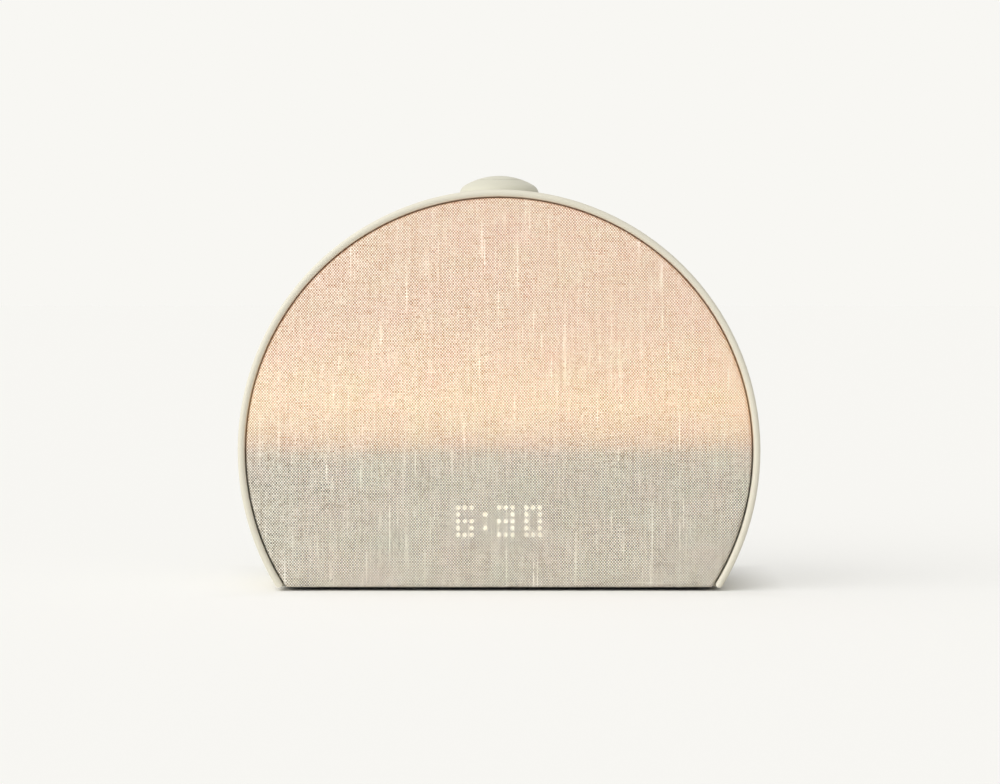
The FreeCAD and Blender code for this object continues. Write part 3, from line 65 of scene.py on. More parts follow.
def towards(azimuth, elevation):
    # a direction: the azimuth from the front, turning to the right, and the height above the floor
    azimuth = math.radians(azimuth)
    elevation = math.radians(elevation)
    return Vector((
        math.sin(azimuth) * math.cos(elevation),
        -math.cos(azimuth) * math.cos(elevation),
        math.sin(elevation),
    ))


def makeCamera():
    data = bpy.data.cameras.new("camera")
    data.lens = camera["lens"]
    data.sensor_width = camera["sensor"]
    data.clip_start = camera["clipStart"]
    data.clip_end = camera["clipEnd"]
    cam = bpy.data.objects.new("camera", data)
    bpy.context.scene.collection.objects.link(cam)
    away = towards(camera["azimuth"], camera["elevation"])
    aim = Vector((camera["aimX"], frontY, camera["aimHeight"]))
    cam.location = aim + away * camera["distance"]
    cam.rotation_mode = "QUATERNION"
    cam.rotation_quaternion = (-away).to_track_quat("-Z", "Y")
    bpy.context.scene.camera = cam


makeCamera()
bpy.context.scene.view_settings.view_transform = "Standard"
print("camera placed")


def srgb(red, green, blue):
    # a colour as a picture shows it, turned into the linear value that a shader takes
    linear = []
    for level in (red, green, blue):
        share = level / 255
        linear.append(share / 12.92 if share <= 0.04045 else ((share + 0.055) / 1.055) ** 2.4)
    return (*linear, 1.0)


class Nodes:
    # short hand for wiring one node tree

    def __init__(self, tree):
        self.tree = tree

    def add(self, kind, **values):
        node = self.tree.nodes.new(kind)
        for name, value in values.items():
            setattr(node, name, value)
        return node

    def link(self, source, target):
        self.tree.links.new(source, target)

    def put(self, socket, value):
        if isinstance(value, bpy.types.NodeSocket):
            self.link(value, socket)
        else:
            socket.default_value = value

    def maths(self, operation, first, second=None, third=None):
        node = self.add("ShaderNodeMath", operation=operation)
        for index, value in enumerate((first, second, third)):
            if value is not None:
                self.put(node.inputs[index], value)
        return node.outputs[0]

    def times(self, first, second):
        return self.maths("MULTIPLY", first, second)

    def addUp(self, total, value, weight, middle=None):
        # a total and a weighed value, which may be taken from its middle
        if middle is not None:
            value = self.maths("SUBTRACT", value, middle)
        return self.maths("MULTIPLY_ADD", value, weight, total)

    def mix(self, factor, first, second):
        # between two colours
        node = self.add("ShaderNodeMix", data_type="RGBA")
        self.put(node.inputs[0], factor)
        self.put(node.inputs[6], first)
        self.put(node.inputs[7], second)
        return node.outputs[2]

    def spread(self, value, low, high, newLow=0.0, newHigh=1.0):
        # a range stretched to another, held at both ends
        node = self.add("ShaderNodeMapRange")
        for index, item in enumerate((value, low, high, newLow, newHigh)):
            self.put(node.inputs[index], item)
        return node.outputs[0]

    def between(self, factor, first, second):
        # between two numbers
        node = self.add("ShaderNodeMix", data_type="FLOAT")
        self.put(node.inputs[0], factor)
        self.put(node.inputs[2], first)
        self.put(node.inputs[3], second)
        return node.outputs[0]

    def tinted(self, colour, scale):
        # a colour made stronger or weaker, or multiplied by another
        if isinstance(scale, tuple) or getattr(scale, "type", "VALUE") != "VALUE":
            node = self.add("ShaderNodeVectorMath", operation="MULTIPLY")
            self.put(node.inputs[1], scale)
        else:
            node = self.add("ShaderNodeVectorMath", operation="SCALE")
            self.put(node.inputs["Scale"], scale)
        self.put(node.inputs[0], colour)
        return node.outputs[0]

    def chance(self, x, y):
        # an even random value for each pair of whole numbers
        node = self.add("ShaderNodeTexWhiteNoise", noise_dimensions="2D")
        self.put(node.inputs["Vector"], self.join(x, y, 0.0))
        return node.outputs["Value"]

    def noise(self, vector, scale, detail=2.0, roughness=0.5):
        node = self.add("ShaderNodeTexNoise")
        self.put(node.inputs["Vector"], vector)
        node.inputs["Scale"].default_value = scale
        node.inputs["Detail"].default_value = detail
        node.inputs["Roughness"].default_value = roughness
        return node.outputs["Fac"]

    def scaled(self, vector, x, y, z):
        node = self.add("ShaderNodeMapping")
        self.put(node.inputs["Vector"], vector)
        node.inputs["Scale"].default_value = (x, y, z)
        return node.outputs[0]

    def split(self, vector):
        node = self.add("ShaderNodeSeparateXYZ")
        self.put(node.inputs[0], vector)
        return node.outputs

    def join(self, x, y, z):
        node = self.add("ShaderNodeCombineXYZ")
        for index, value in enumerate((x, y, z)):
            self.put(node.inputs[index], value)
        return node.outputs[0]

    def ramp(self, value, stops):
        node = self.add("ShaderNodeValToRGB")
        self.put(node.inputs[0], value)
        elements = node.color_ramp.elements
        for index, (place, colour) in enumerate(stops):
            element = elements[index] if index < 2 else elements.new(place)
            element.position = place
            element.color = colour
        return node.outputs[0]

    def bump(self, height, strength, distance):
        node = self.add("ShaderNodeBump")
        node.inputs["Strength"].default_value = strength
        node.inputs["Distance"].default_value = distance
        self.put(node.inputs["Height"], height)
        return node.outputs[0]


def newGroup(name, inputs, outputs):
    # an empty node group with named sockets
    tree = bpy.data.node_groups.new(name, "ShaderNodeTree")
    for label, kind, value in inputs:
        socket = tree.interface.new_socket(name=label, in_out="INPUT", socket_type=kind)
        if value is not None:
            socket.default_value = value
    for label, kind in outputs:
        tree.interface.new_socket(name=label, in_out="OUTPUT", socket_type=kind)
    nodes = Nodes(tree)
    start = nodes.add("NodeGroupInput")
    end = nodes.add("NodeGroupOutput")
    return nodes, start.outputs, end.inputs


def newMaterial(name, roughness, metallic=0.0, **sockets):
    # a Principled material and its nodes
    material = bpy.data.materials.new(name)
    material.use_nodes = True
    nodes = Nodes(material.node_tree)
    shader = material.node_tree.nodes["Principled BSDF"]
    shader.inputs["Roughness"].default_value = roughness
    shader.inputs["Metallic"].default_value = metallic
    for label, value in sockets.items():
        shader.inputs[label.replace("_", " ")].default_value = value
    place = nodes.add("ShaderNodeTexCoord").outputs["Object"]
    return material, nodes, shader.inputs, place


def useGroup(nodes, tree, **values):
    node = nodes.add("ShaderNodeGroup", node_tree=tree)
    for label, value in values.items():
        nodes.put(node.inputs[label], value)
    return node.outputs


# Fine moulding grain, with a slow drift of tone, for every moulded or cast surface
moulding = {
    "fineScale": 2600,
    "slowScale": 14,
    "speckScale": 900,
    "speckTone": 0.03,
    "roughnessDrift": 0.12,
    "bumpDistance": 0.0001,
}


def makeGrainGroup():
    nodes, given, out = newGroup(
        "mouldedGrain",
        [
            ("Place", "NodeSocketVector", None),
            ("Colour", "NodeSocketColor", (0.8, 0.8, 0.8, 1)),
            ("Grain", "NodeSocketFloat", 0.5),
            ("Drift", "NodeSocketFloat", 0.03),
            ("Roughness", "NodeSocketFloat", 0.5),
        ],
        [("Colour", "NodeSocketColor"), ("Roughness", "NodeSocketFloat"), ("Height", "NodeSocketFloat")],
    )
    fine = nodes.noise(given["Place"], moulding["fineScale"], 3, 0.6)
    slow = nodes.noise(given["Place"], moulding["slowScale"], 3)
    speck = nodes.noise(given["Place"], moulding["speckScale"])
    level = nodes.addUp(1.0, slow, given["Drift"], 0.5)
    level = nodes.addUp(level, speck, moulding["speckTone"], 0.5)
    nodes.link(nodes.tinted(given["Colour"], level), out["Colour"])
    nodes.link(nodes.addUp(given["Roughness"], slow, moulding["roughnessDrift"], 0.5), out["Roughness"])
    nodes.link(nodes.times(fine, given["Grain"]), out["Height"])
    return nodes.tree


grainGroup = makeGrainGroup()


def mouldedMaterial(name, colour, roughness, grain, drift, bump, metallic=0.0, **sockets):
    material, nodes, shader, place = newMaterial(name, roughness, metallic, **sockets)
    out = useGroup(
        nodes, grainGroup, Place=place, Colour=colour, Grain=grain, Drift=drift, Roughness=roughness
    )
    nodes.link(out["Colour"], shader["Base Color"])
    nodes.link(out["Roughness"], shader["Roughness"])
    nodes.link(nodes.bump(out["Height"], bump, moulding["bumpDistance"]), shader["Normal"])
    return material


# Front fabric: thread counts, tones, and the picture that the lights behind it make
linen = {
    "warpPitch": 0.000547,
    "weftPitch": 0.000635,
    "contrast": 0.95,  # between the warp and the weft, and of the painted shade between the threads' crowns and the dips between them
    "flecks": 0.8,
    "straw": srgb(58, 42, 26),
    "dark": srgb(132, 119, 98),
    "middle": srgb(218, 208, 189),
    "light": srgb(255, 252, 243),
    "pinkish": (1.02, 0.985, 0.985, 1),
    "greenish": (0.98, 1.01, 0.985, 1),
    "rosy": (1.0, 0.93, 1.00, 1),
    "golden": (1.0, 1.06, 0.92, 1),
    # the glow's tint at the left and at the right edge: painted light and shade from the key on the left
    "glowLitSidePainted": (1.0, 1.04, 1.10, 1),
    "glowShadedSidePainted": (1.0, 0.95, 0.84, 1),
    "roughness": 0.9,
    "sheen": 0.12,
    "sheenRoughness": 0.5,
    "gloss": 0.25,
    "bump": 0.55,
    "bumpDistance": 0.00018,
    "glowStrength": 1.0,
    "through": 1.23,  # share of the glow that a dark thread lets through, and what tone and gaps change
    "throughTone": -0.52,
    "throughGap": 0.12,
    "waveStretch": (6.0, 1.0, 14.0),  # the glow's unevenness, and how far it lifts the glow
    "waveScale": 2.0,
    "waveLift": 0.004,
    "dotLight": (0.37, 0.36, 0.31),
    "dotThrough": 1.3,
    "dotThroughTone": -0.55,
    "dotPitch": 0.002745,
    "dotRadius": 0.00097,
    "dotEdge": (1.12, 0.82),  # in radii: where a dot's light ends, and where it is full
    "digitsDrop": 0.0281,  # middle of the digits below the circle's centre
}

# The sunrise, from the horizon upwards: height above the circle's centre and the light's colour
sunrise = [
    (-0.0130, (0.0, 0.0, 0.0)),
    (-0.0060, (0.016, 0.009, 0.004)),
    (-0.0015, (0.050, 0.018, 0.004)),
    (0.0030, (0.165, 0.055, 0.010)),
    (0.0080, (0.250, 0.110, 0.030)),
    (0.0190, (0.330, 0.170, 0.060)),
    (0.0330, (0.300, 0.135, 0.048)),
    (0.0560, (0.235, 0.085, 0.030)),
    (0.0950, (0.225, 0.080, 0.028)),
]

# Rows of the time that the dots show, from the top, over thirteen columns
digitRows = [
    "###   ### ###",
    "#   #   # # #",
    "###   ### # #",
    "# # #   # # #",
    "###   ### ###",
]


def makeDotGroup():
    # light of the dots: each row is a number whose bits say which dots are lit
    nodes, given, out = newGroup(
        "dotDisplay",
        [
            ("Place", "NodeSocketVector", None),
            ("Pitch", "NodeSocketFloat", 0.0027),
            ("Radius", "NodeSocketFloat", 0.001),
            ("Height", "NodeSocketFloat", 0.03),
        ],
        [("Light", "NodeSocketFloat")],
    )
    columns = len(digitRows[0])
    rows = len(digitRows)
    place = nodes.split(given["Place"])
    across = nodes.maths("DIVIDE", place["X"], given["Pitch"])
    across = nodes.maths("ADD", across, columns / 2)
    down = nodes.maths("SUBTRACT", given["Height"], place["Z"])
    down = nodes.maths("DIVIDE", down, given["Pitch"])
    down = nodes.maths("ADD", down, rows / 2)
    column = nodes.maths("FLOOR", across)
    row = nodes.maths("FLOOR", down)
    bits = 0.0
    for index, text in enumerate(digitRows):
        number = sum(2 ** spot for spot, mark in enumerate(text) if mark == "#")
        here = nodes.maths("COMPARE", row, float(index), 0.1)
        bits = nodes.addUp(bits, here, float(number))
    share = nodes.maths("DIVIDE", bits, nodes.maths("POWER", 2.0, column))
    lit = nodes.maths("MODULO", nodes.maths("FLOOR", share), 2.0)
    inside = nodes.maths("COMPARE", column, (columns - 1) / 2, columns / 2)
    offX = nodes.maths("SUBTRACT", nodes.maths("FRACT", across), 0.5)
    offZ = nodes.maths("SUBTRACT", nodes.maths("FRACT", down), 0.5)
    far = nodes.maths("SQRT", nodes.addUp(nodes.times(offX, offX), offZ, offZ))
    edge = nodes.maths("DIVIDE", nodes.times(far, given["Pitch"]), given["Radius"])
    disc = nodes.spread(edge, *linen["dotEdge"])
    nodes.link(nodes.times(disc, nodes.times(lit, inside)), out["Light"])
    return nodes.tree


# How the threads wander and run thick and thin, and what each of it adds to the cloth's tone
threads = {
    "wanderScale": 60,
    "warpWander": 1.2,  # in threads
    "weftWander": 1.6,
    "warpStep": 3.7,  # of the noise, from one thread to the next
    "weftStep": 4.3,
    "fleckStep": 7.9,
    "warpRun": 26.0,  # of the noise, along a thread
    "weftRun": 70.0,
    "fleckRun": 110.0,
    "weftLayer": 5.0,  # where in the noise the weft's runs and the flecks are taken
    "fleckLayer": 9.0,
    "warpSlub": (0.62, 0.71),  # values of the noise at which it sets in, and at which it is full
    "weftSlub": (0.66, 0.76),
    "weftDark": (0.38, 0.28),
    "fleck": (0.68, 0.75),
    "speck": (0.05, 0.03),
    "warpSlubOver": 0.45,  # how far a slub hides the crossing threads
    "weftSlubOver": 0.6,
    "fleckCovered": 0.15,  # share of a fleck that shows under the warp
    "patchScale": 110,
    "patchNoise": (0.35, 0.65),
    "patchContrast": (0.84, 1.1),
    # tone is lighter above this height of the threads and darker below it: painted shade in the dips
    # between the threads
    "paintedShadeHeight": 0.6,
    "warpTone": 0.65,
    "weftTone": 0.42,
    "warpSlubTone": 0.14,
    "weftSlubTone": 0.22,
    "weftDarkTone": -0.38,
    "fleckTone": -1.0,
    "luckTone": 0.45,
    "speckTone": -1.0,
    "fibreScale": 1500,
    "fibreTone": 0.4,
    "lowestTone": -0.5,
    "slubHeight": 0.3,
    "gap": (0.45, 0.05),
    "hueScale": 75,
    "hueNoise": (0.3, 0.7),
}


def makeWeaveGroup():
    # plain weave of slubby threads, warp along Z and weft along X
    nodes, given, out = newGroup(
        "plainWeave",
        [
            ("Place", "NodeSocketVector", None),
            ("Warp", "NodeSocketFloat", 0.0005),
            ("Weft", "NodeSocketFloat", 0.0006),
            ("Contrast", "NodeSocketFloat", 0.6),
            ("Flecks", "NodeSocketFloat", 0.5),
        ],
        [
            ("Tone", "NodeSocketFloat"),
            ("Height", "NodeSocketFloat"),
            ("Gap", "NodeSocketFloat"),
            ("Hue", "NodeSocketFloat"),
        ],
    )
    place = given["Place"]
    apart = nodes.split(place)
    x = apart["X"]
    z = apart["Z"]
    wander = nodes.maths("SUBTRACT", nodes.noise(place, threads["wanderScale"]), 0.5)
    across = nodes.addUp(nodes.maths("DIVIDE", x, given["Warp"]), wander, threads["warpWander"])
    upward = nodes.addUp(nodes.maths("DIVIDE", z, given["Weft"]), wander, threads["weftWander"])
    warpIndex = nodes.maths("FLOOR", across)
    weftIndex = nodes.maths("FLOOR", upward)
    # 1 where the warp is on top
    over = nodes.maths("PINGPONG", nodes.maths("ADD", warpIndex, weftIndex), 1.0)

    # each thread's thickness and tone change slowly along it
    warpStep = nodes.times(warpIndex, threads["warpStep"])
    weftStep = nodes.times(weftIndex, threads["weftStep"])
    fleckStep = nodes.times(weftIndex, threads["fleckStep"])
    warpPlace = nodes.join(warpStep, 0.0, nodes.times(z, threads["warpRun"]))
    weftPlace = nodes.join(nodes.times(x, threads["weftRun"]), threads["weftLayer"], weftStep)
    fleckPlace = nodes.join(nodes.times(x, threads["fleckRun"]), threads["fleckLayer"], fleckStep)
    warpRun = nodes.noise(warpPlace, 1.0, 2, 0.6)
    weftRun = nodes.noise(weftPlace, 1.0, 2, 0.6)
    fleckRun = nodes.noise(fleckPlace, 1.0, 1)
    slubWarp = nodes.spread(warpRun, *threads["warpSlub"])
    slubWeft = nodes.spread(weftRun, *threads["weftSlub"])
    darkWeft = nodes.spread(weftRun, *threads["weftDark"])
    fleck = nodes.spread(fleckRun, *threads["fleck"])
    over = nodes.maths("MAXIMUM", over, nodes.times(slubWarp, threads["warpSlubOver"]))
    over = nodes.times(over, nodes.addUp(1.0, slubWeft, -threads["weftSlubOver"]))
    below = nodes.maths("SUBTRACT", 1.0, over)

    warpRound = nodes.maths("SINE", nodes.times(nodes.maths("FRACT", across), math.pi))
    weftRound = nodes.maths("SINE", nodes.times(nodes.maths("FRACT", upward), math.pi))
    warpTop = nodes.times(warpRound, nodes.addUp(0.5, weftRound, 0.5))
    weftTop = nodes.times(weftRound, nodes.addUp(0.5, warpRound, 0.5))
    height = nodes.between(over, weftTop, warpTop)

    # the warp is the paler thread, and the cloth is closer woven in some places than in others
    patch = nodes.noise(place, threads["patchScale"], 3, 0.6)
    patch = nodes.spread(patch, *threads["patchNoise"], *threads["patchContrast"])
    reach = nodes.times(given["Contrast"], patch)
    tone = nodes.addUp(0.5, over, reach, 0.5)
    # tone also rises with the threads' height, lighter on their crowns and darker in the dips between them:
    # painted shade
    tone = nodes.addUp(tone, height, reach, threads["paintedShadeHeight"])
    tone = nodes.addUp(tone, warpRun, threads["warpTone"], 0.5)
    tone = nodes.addUp(tone, weftRun, threads["weftTone"], 0.5)
    tone = nodes.addUp(tone, slubWarp, threads["warpSlubTone"])
    tone = nodes.addUp(tone, slubWeft, threads["weftSlubTone"])
    tone = nodes.addUp(tone, nodes.times(darkWeft, below), threads["weftDarkTone"])
    bare = nodes.addUp(threads["fleckCovered"], below, 1 - threads["fleckCovered"])
    fleck = nodes.times(nodes.times(fleck, bare), given["Flecks"])
    tone = nodes.addUp(tone, fleck, threads["fleckTone"])

    # no two crossings are alike, and a few hold a speck of darker straw
    luck = nodes.chance(warpIndex, weftIndex)
    tone = nodes.addUp(tone, luck, threads["luckTone"], 0.5)
    speck = nodes.times(nodes.spread(luck, *threads["speck"]), below)
    tone = nodes.addUp(tone, nodes.times(speck, given["Flecks"]), threads["speckTone"])
    fibre = nodes.noise(place, threads["fibreScale"], 2, 0.6)
    tone = nodes.addUp(tone, fibre, threads["fibreTone"], 0.5)
    hue = nodes.noise(place, threads["hueScale"], 3, 0.6)
    nodes.link(nodes.maths("MAXIMUM", tone, threads["lowestTone"]), out["Tone"])
    nodes.link(nodes.addUp(height, slubWarp, threads["slubHeight"]), out["Height"])
    nodes.link(nodes.spread(height, *threads["gap"]), out["Gap"])
    nodes.link(nodes.spread(hue, *threads["hueNoise"]), out["Hue"])
    return nodes.tree


def linenMaterial():
    material, nodes, shader, place = newMaterial(
        "frontLinen", linen["roughness"], Sheen_Weight=linen["sheen"],
        Sheen_Roughness=linen["sheenRoughness"], Specular_IOR_Level=linen["gloss"],
    )
    apart = nodes.split(place)
    weave = useGroup(
        nodes, makeWeaveGroup(), Place=place, Warp=linen["warpPitch"], Weft=linen["weftPitch"],
        Contrast=linen["contrast"], Flecks=linen["flecks"],
    )
    colour = nodes.ramp(nodes.spread(weave["Tone"], threads["lowestTone"], 1.0), [
        (0.0, linen["straw"]), (1 / 3, linen["dark"]), (2 / 3, linen["middle"]), (1.0, linen["light"]),
    ])
    colour = nodes.tinted(colour, nodes.mix(weave["Hue"], linen["pinkish"], linen["greenish"]))
    nodes.link(colour, shader["Base Color"])
    nodes.link(nodes.bump(weave["Height"], linen["bump"], linen["bumpDistance"]), shader["Normal"])

    # the sunrise light, uneven where the threads are thick and bright between them
    low = sunrise[0][0]
    high = sunrise[-1][0]
    wave = nodes.noise(nodes.scaled(place, *linen["waveStretch"]), linen["waveScale"], 3, 0.6)
    lift = nodes.addUp(apart["Z"], wave, linen["waveLift"], 0.5)
    climb = nodes.spread(lift, centreZ + low, centreZ + high)
    glow = nodes.ramp(climb, [((rise - low) / (high - low), (*light, 1.0)) for rise, light in sunrise])
    through = nodes.addUp(linen["through"], weave["Tone"], linen["throughTone"])
    through = nodes.addUp(through, weave["Gap"], linen["throughGap"])
    glow = nodes.tinted(glow, through)
    glow = nodes.tinted(glow, nodes.mix(weave["Hue"], linen["rosy"], linen["golden"]))
    # the glow made lighter and cooler towards the left and darker towards the right: painted light and
    # shade from the key on the left, laid over the lamp's own glow
    side = nodes.spread(apart["X"], -outerRadius, outerRadius)
    glow = nodes.tinted(glow, nodes.mix(side, linen["glowLitSidePainted"], linen["glowShadedSidePainted"]))

    dots = useGroup(
        nodes, makeDotGroup(), Place=place, Pitch=linen["dotPitch"], Radius=linen["dotRadius"],
        Height=centreZ - linen["digitsDrop"],
    )
    dotShade = nodes.addUp(linen["dotThrough"], weave["Tone"], linen["dotThroughTone"])
    dotShade = nodes.times(dots["Light"], dotShade)
    total = nodes.add("ShaderNodeVectorMath", operation="ADD")
    nodes.link(glow, total.inputs[0])
    nodes.link(nodes.tinted(linen["dotLight"], dotShade), total.inputs[1])
    nodes.link(total.outputs[0], shader["Emission Color"])
    shader["Emission Strength"].default_value = linen["glowStrength"]
    return material


def meshObject(name, bm, material, body):
    mesh = bpy.data.meshes.new(name)
    bm.to_mesh(mesh)
    bm.free()
    mesh.shade_smooth()
    mesh.materials.append(material)
    thing = bpy.data.objects.new(name, mesh)
    bpy.context.scene.collection.objects.link(thing)
    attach(thing, body)
    return thing


fabric = {
    "segments": 360,
    "edgeRound": 0.0016,
    "edgeSteps": 5,
    "thickness": 0.00045,
    "near": 1e-6,  # how close to the front plane an edge counts as lying in it
}


def makeFabric():
    # a flat-bottomed disc, drawn back at its edge round the panel
    low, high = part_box("front_fabric")
    bm = bmesh.new()
    bmesh.ops.create_circle(bm, cap_ends=True, segments=fabric["segments"], radius=high.x)
    turn = Matrix.Translation((0, low.y, centreZ)) @ Matrix.Rotation(math.pi / 2, 4, "X")
    bmesh.ops.transform(bm, matrix=turn, verts=bm.verts)
    everything = bm.verts[:] + bm.edges[:] + bm.faces[:]
    bmesh.ops.bisect_plane(
        bm, geom=everything, plane_co=(0, 0, low.z), plane_no=(0, 0, -1), clear_outer=True
    )
    rim = bmesh.ops.extrude_edge_only(bm, edges=bm.edges[:])
    skirt = [item for item in rim["geom"] if isinstance(item, bmesh.types.BMVert)]
    bmesh.ops.translate(bm, verts=skirt, vec=(0, high.y - low.y, 0))
    near = fabric["near"]
    edges = [edge for edge in bm.edges if all(abs(vert.co.y - low.y) < near for vert in edge.verts)]
    bmesh.ops.bevel(
        bm, geom=edges, offset=fabric["edgeRound"], affect="EDGES", segments=fabric["edgeSteps"],
        profile=0.5, material=-1,
    )
    bmesh.ops.recalc_face_normals(bm, faces=bm.faces[:])
    thing = meshObject("front_linen", bm, linenMaterial(), "clock")
    wall = thing.modifiers.new("thickness", "SOLIDIFY")
    wall.thickness = fabric["thickness"]
    wall.offset = -1
    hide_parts("front_fabric")


makeFabric()
print("fabric stretched")

# Finishes of the CAD pieces: colour, roughness, and the strengths of grain, drift of tone and bump
finishes = {
    "housing": mouldedMaterial("housingPlastic", srgb(217, 212, 195), 0.5, 0.5, 0.04, 0.12),
    "knob": mouldedMaterial("knobPlastic", srgb(207, 204, 186), 0.5, 0.5, 0.04, 0.1),
    "button": mouldedMaterial("buttonPlastic", srgb(207, 204, 186), 0.5, 0.5, 0.04, 0.1),
    "black": mouldedMaterial("blackPlastic", srgb(38, 37, 36), 0.55, 0.6, 0.2, 0.2),
    "dark": mouldedMaterial("darkGreyPlastic", srgb(92, 92, 90), 0.5, 0.5, 0.1, 0.2),
    "milky": mouldedMaterial("milkyPanel", srgb(236, 234, 228), 0.5, 0.3, 0.03, 0.1),
    "white": mouldedMaterial("whiteReflector", srgb(243, 243, 240), 0.25, 0.2, 0.02, 0.05),
    "rubber": mouldedMaterial("footRubber", srgb(36, 35, 34), 0.8, 0.9, 0.2, 0.35),
    "foam": mouldedMaterial("closedFoam", srgb(30, 30, 30), 0.95, 1.0, 0.3, 0.8),
    "board": mouldedMaterial("circuitBoard", srgb(24, 74, 44), 0.35, 0.3, 0.2, 0.1, Coat_Weight=0.3),
    "chip": mouldedMaterial("chipPackage", srgb(24, 24, 26), 0.4, 0.6, 0.1, 0.2),
    "lamp": mouldedMaterial("lampChip", srgb(250, 220, 120), 0.3, 0.2, 0.02, 0.05,
                            Emission_Color=(1.0, 0.55, 0.25, 1), Emission_Strength=1.0),
    "dot": mouldedMaterial("dotChip", srgb(250, 245, 230), 0.3, 0.2, 0.02, 0.05),
    "steel": mouldedMaterial("zincSteel", srgb(190, 190, 192), 0.32, 0.3, 0.1, 0.08, metallic=1.0),
    "magnet": mouldedMaterial("ferriteMagnet", srgb(48, 48, 50), 0.6, 0.8, 0.1, 0.25, metallic=0.2),
    "paper": mouldedMaterial("conePaper", srgb(40, 39, 38), 0.9, 1.0, 0.3, 0.6),
    "brass": mouldedMaterial("turnedBrass", srgb(214, 178, 104), 0.28, 0.3, 0.1, 0.08, metallic=1.0),
    "mesh": mouldedMaterial("dustMesh", srgb(28, 28, 28), 0.85, 1.0, 0.2, 0.8),
}

finishOf = {
    "housing": ["main_shell", "speaker_grille"],
    "knob": ["dial_ring"],
    "button": ["button_cap"],
    "black": ["display_baffle", "power_socket", "speaker_box", "tact_switch", "alarm_slider", "base_plate"],
    "dark": ["chassis", "button_retainer"],
    "milky": ["front_panel", "diffuser_sheet"],
    "white": ["light_reflector"],
    "rubber": ["foot_pad", "speaker_surround"],
    "foam": ["panel_gasket", "speaker_gasket"],
    "board": ["led_board", "display_board", "main_board", "power_board", "top_board", "switch_board"],
    "chip": ["board_chips", "hall_sensor"],
    "lamp": ["light_leds"],
    "dot": ["display_leds"],
    "steel": [
        "reflector_screws", "display_screws", "chassis_screws", "wifi_module", "main_board_screws",
        "power_board_screws", "speaker_frame", "speaker_screws", "speaker_box_screws", "dial_clip",
        "top_board_screws", "slide_switch", "switch_screws", "base_screws",
    ],
    "magnet": ["speaker_magnet", "encoder_magnet"],
    "paper": ["speaker_cone"],
    "brass": ["dial_bush"],
    "mesh": ["speaker_mesh"],
}


def dressFrame():
    for finish, names in finishOf.items():
        for name in names:
            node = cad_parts[name]
            node.data.materials.clear()
            node.data.materials.append(finishes[finish])


dressFrame()
print("frame dressed")

stage = {
    "floorSize": 6.0,
    "backdrop": srgb(248, 247, 243),
    "floorColour": srgb(243, 242, 238),
    "floorGlow": srgb(252, 251, 247),  # what the camera also sees, so that the floor meets the backdrop
    "floorFleck": (0.8, 0.8, 0.8, 1),
    "floorFleckShare": 0.01,
    "floorGrain": 300,
    "glowShare": 0.55,
    "glowEdge": 0.03,  # from the base plate outwards, over which the glow sets in
    "ambientLeft": 1.15,  # the room's light from the left and above, and from the right
    "ambientRight": 0.20,
    "ambientTurn": -0.6,  # cosine of the angle from the key light at which the room is dimmest
    "keyStrength": 1.24,
    "keyAngle": 60.0,  # spread of the key light, in degrees
    "keyAzimuth": -56.0,  # from the left of the camera
    "keyElevation": 33.0,
}


def seenRay(nodes):
    # 1 for what the camera sees, straight, in a gloss or through glass
    path = nodes.add("ShaderNodeLightPath")
    seen = nodes.maths("MAXIMUM", path.outputs["Is Camera Ray"], path.outputs["Is Glossy Ray"])
    return nodes.maths("MAXIMUM", seen, path.outputs["Is Transmission Ray"])


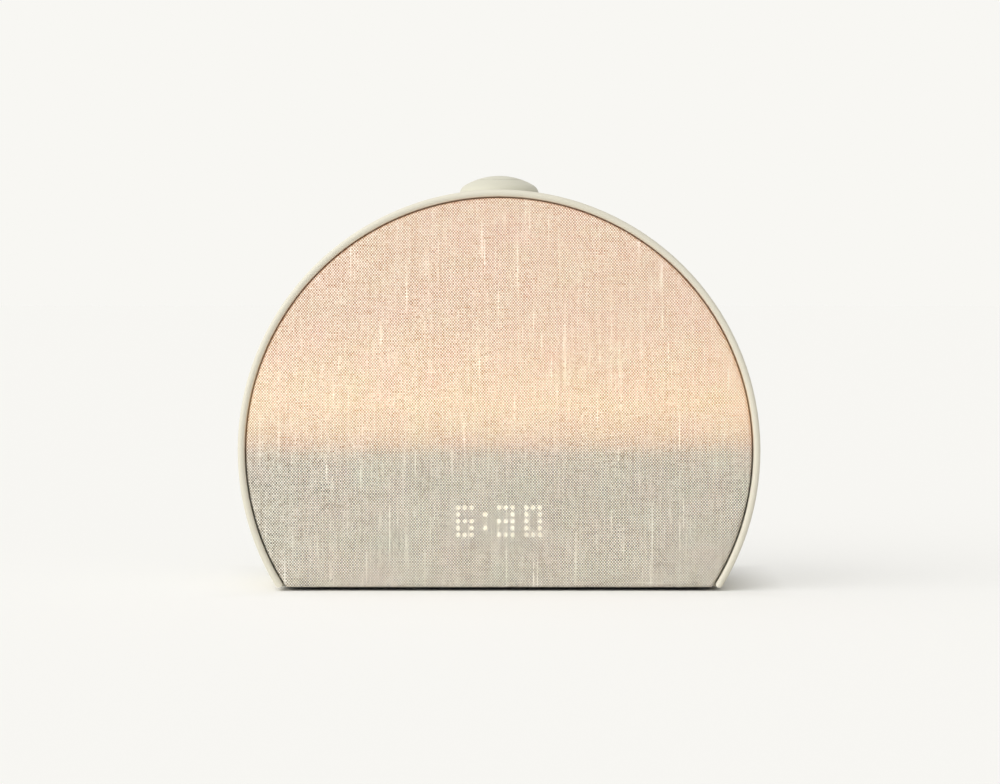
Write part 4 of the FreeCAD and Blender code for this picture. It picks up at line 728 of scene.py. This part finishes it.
def makeFloor():
    bm = bmesh.new()
    bmesh.ops.create_grid(bm, x_segments=1, y_segments=1, size=stage["floorSize"])
    mesh = bpy.data.meshes.new("floor")
    bm.to_mesh(mesh)
    bm.free()
    floor = bpy.data.objects.new("floor", mesh)
    bpy.context.scene.collection.objects.link(floor)
    material, nodes, shader, place = newMaterial("floorPaper", 0.9, Specular_IOR_Level=0.0)
    fleck = nodes.times(nodes.noise(place, stage["floorGrain"]), stage["floorFleckShare"])
    nodes.link(nodes.mix(fleck, stage["floorColour"], stage["floorFleck"]), shader["Base Color"])
    glow = nodes.add("ShaderNodeEmission")
    glow.inputs["Color"].default_value = stage["floorGlow"]

    # none of the glow under the clock, where the floor is in deep shade
    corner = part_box("base_plate")[1]
    apart = nodes.split(place)
    beside = nodes.maths("SUBTRACT", nodes.maths("ABSOLUTE", apart["X"]), corner.x)
    ahead = nodes.maths("SUBTRACT", nodes.maths("ABSOLUTE", apart["Y"]), corner.y)
    clear = nodes.spread(nodes.maths("MAXIMUM", beside, ahead), 0.0, stage["glowEdge"])
    share = nodes.times(seenRay(nodes), nodes.times(clear, stage["glowShare"]))
    mix = nodes.add("ShaderNodeMixShader")
    nodes.link(share, mix.inputs[0])
    nodes.link(material.node_tree.nodes["Principled BSDF"].outputs[0], mix.inputs[1])
    nodes.link(glow.outputs[0], mix.inputs[2])
    nodes.link(mix.outputs[0], material.node_tree.nodes["Material Output"].inputs["Surface"])
    mesh.materials.append(material)


def makeLights():
    world = bpy.data.worlds.new("studio")
    bpy.context.scene.world = world
    world.use_nodes = True
    nodes = Nodes(world.node_tree)
    for node in list(world.node_tree.nodes):
        world.node_tree.nodes.remove(node)
    plain = nodes.add("ShaderNodeBackground")
    plain.inputs["Color"].default_value = (1, 1, 1, 1)
    toward = towards(stage["keyAzimuth"], stage["keyElevation"])
    facing = nodes.add("ShaderNodeVectorMath", operation="DOT_PRODUCT")
    nodes.link(nodes.add("ShaderNodeTexCoord").outputs["Generated"], facing.inputs[0])
    facing.inputs[1].default_value = toward
    room = nodes.spread(
        facing.outputs["Value"], stage["ambientTurn"], 1.0, stage["ambientRight"], stage["ambientLeft"]
    )
    nodes.link(room, plain.inputs["Strength"])
    backdrop = nodes.add("ShaderNodeBackground")
    backdrop.inputs["Color"].default_value = stage["backdrop"]
    mix = nodes.add("ShaderNodeMixShader")
    nodes.link(seenRay(nodes), mix.inputs[0])
    nodes.link(plain.outputs[0], mix.inputs[1])
    nodes.link(backdrop.outputs[0], mix.inputs[2])
    out = nodes.add("ShaderNodeOutputWorld")
    nodes.link(mix.outputs[0], out.inputs["Surface"])

    data = bpy.data.lights.new("key", "SUN")
    data.energy = stage["keyStrength"]
    data.angle = math.radians(stage["keyAngle"])
    key = bpy.data.objects.new("key", data)
    bpy.context.scene.collection.objects.link(key)
    key.rotation_mode = "QUATERNION"
    key.rotation_quaternion = toward.to_track_quat("Z", "Y")


makeFloor()
makeLights()
print("stage lit")
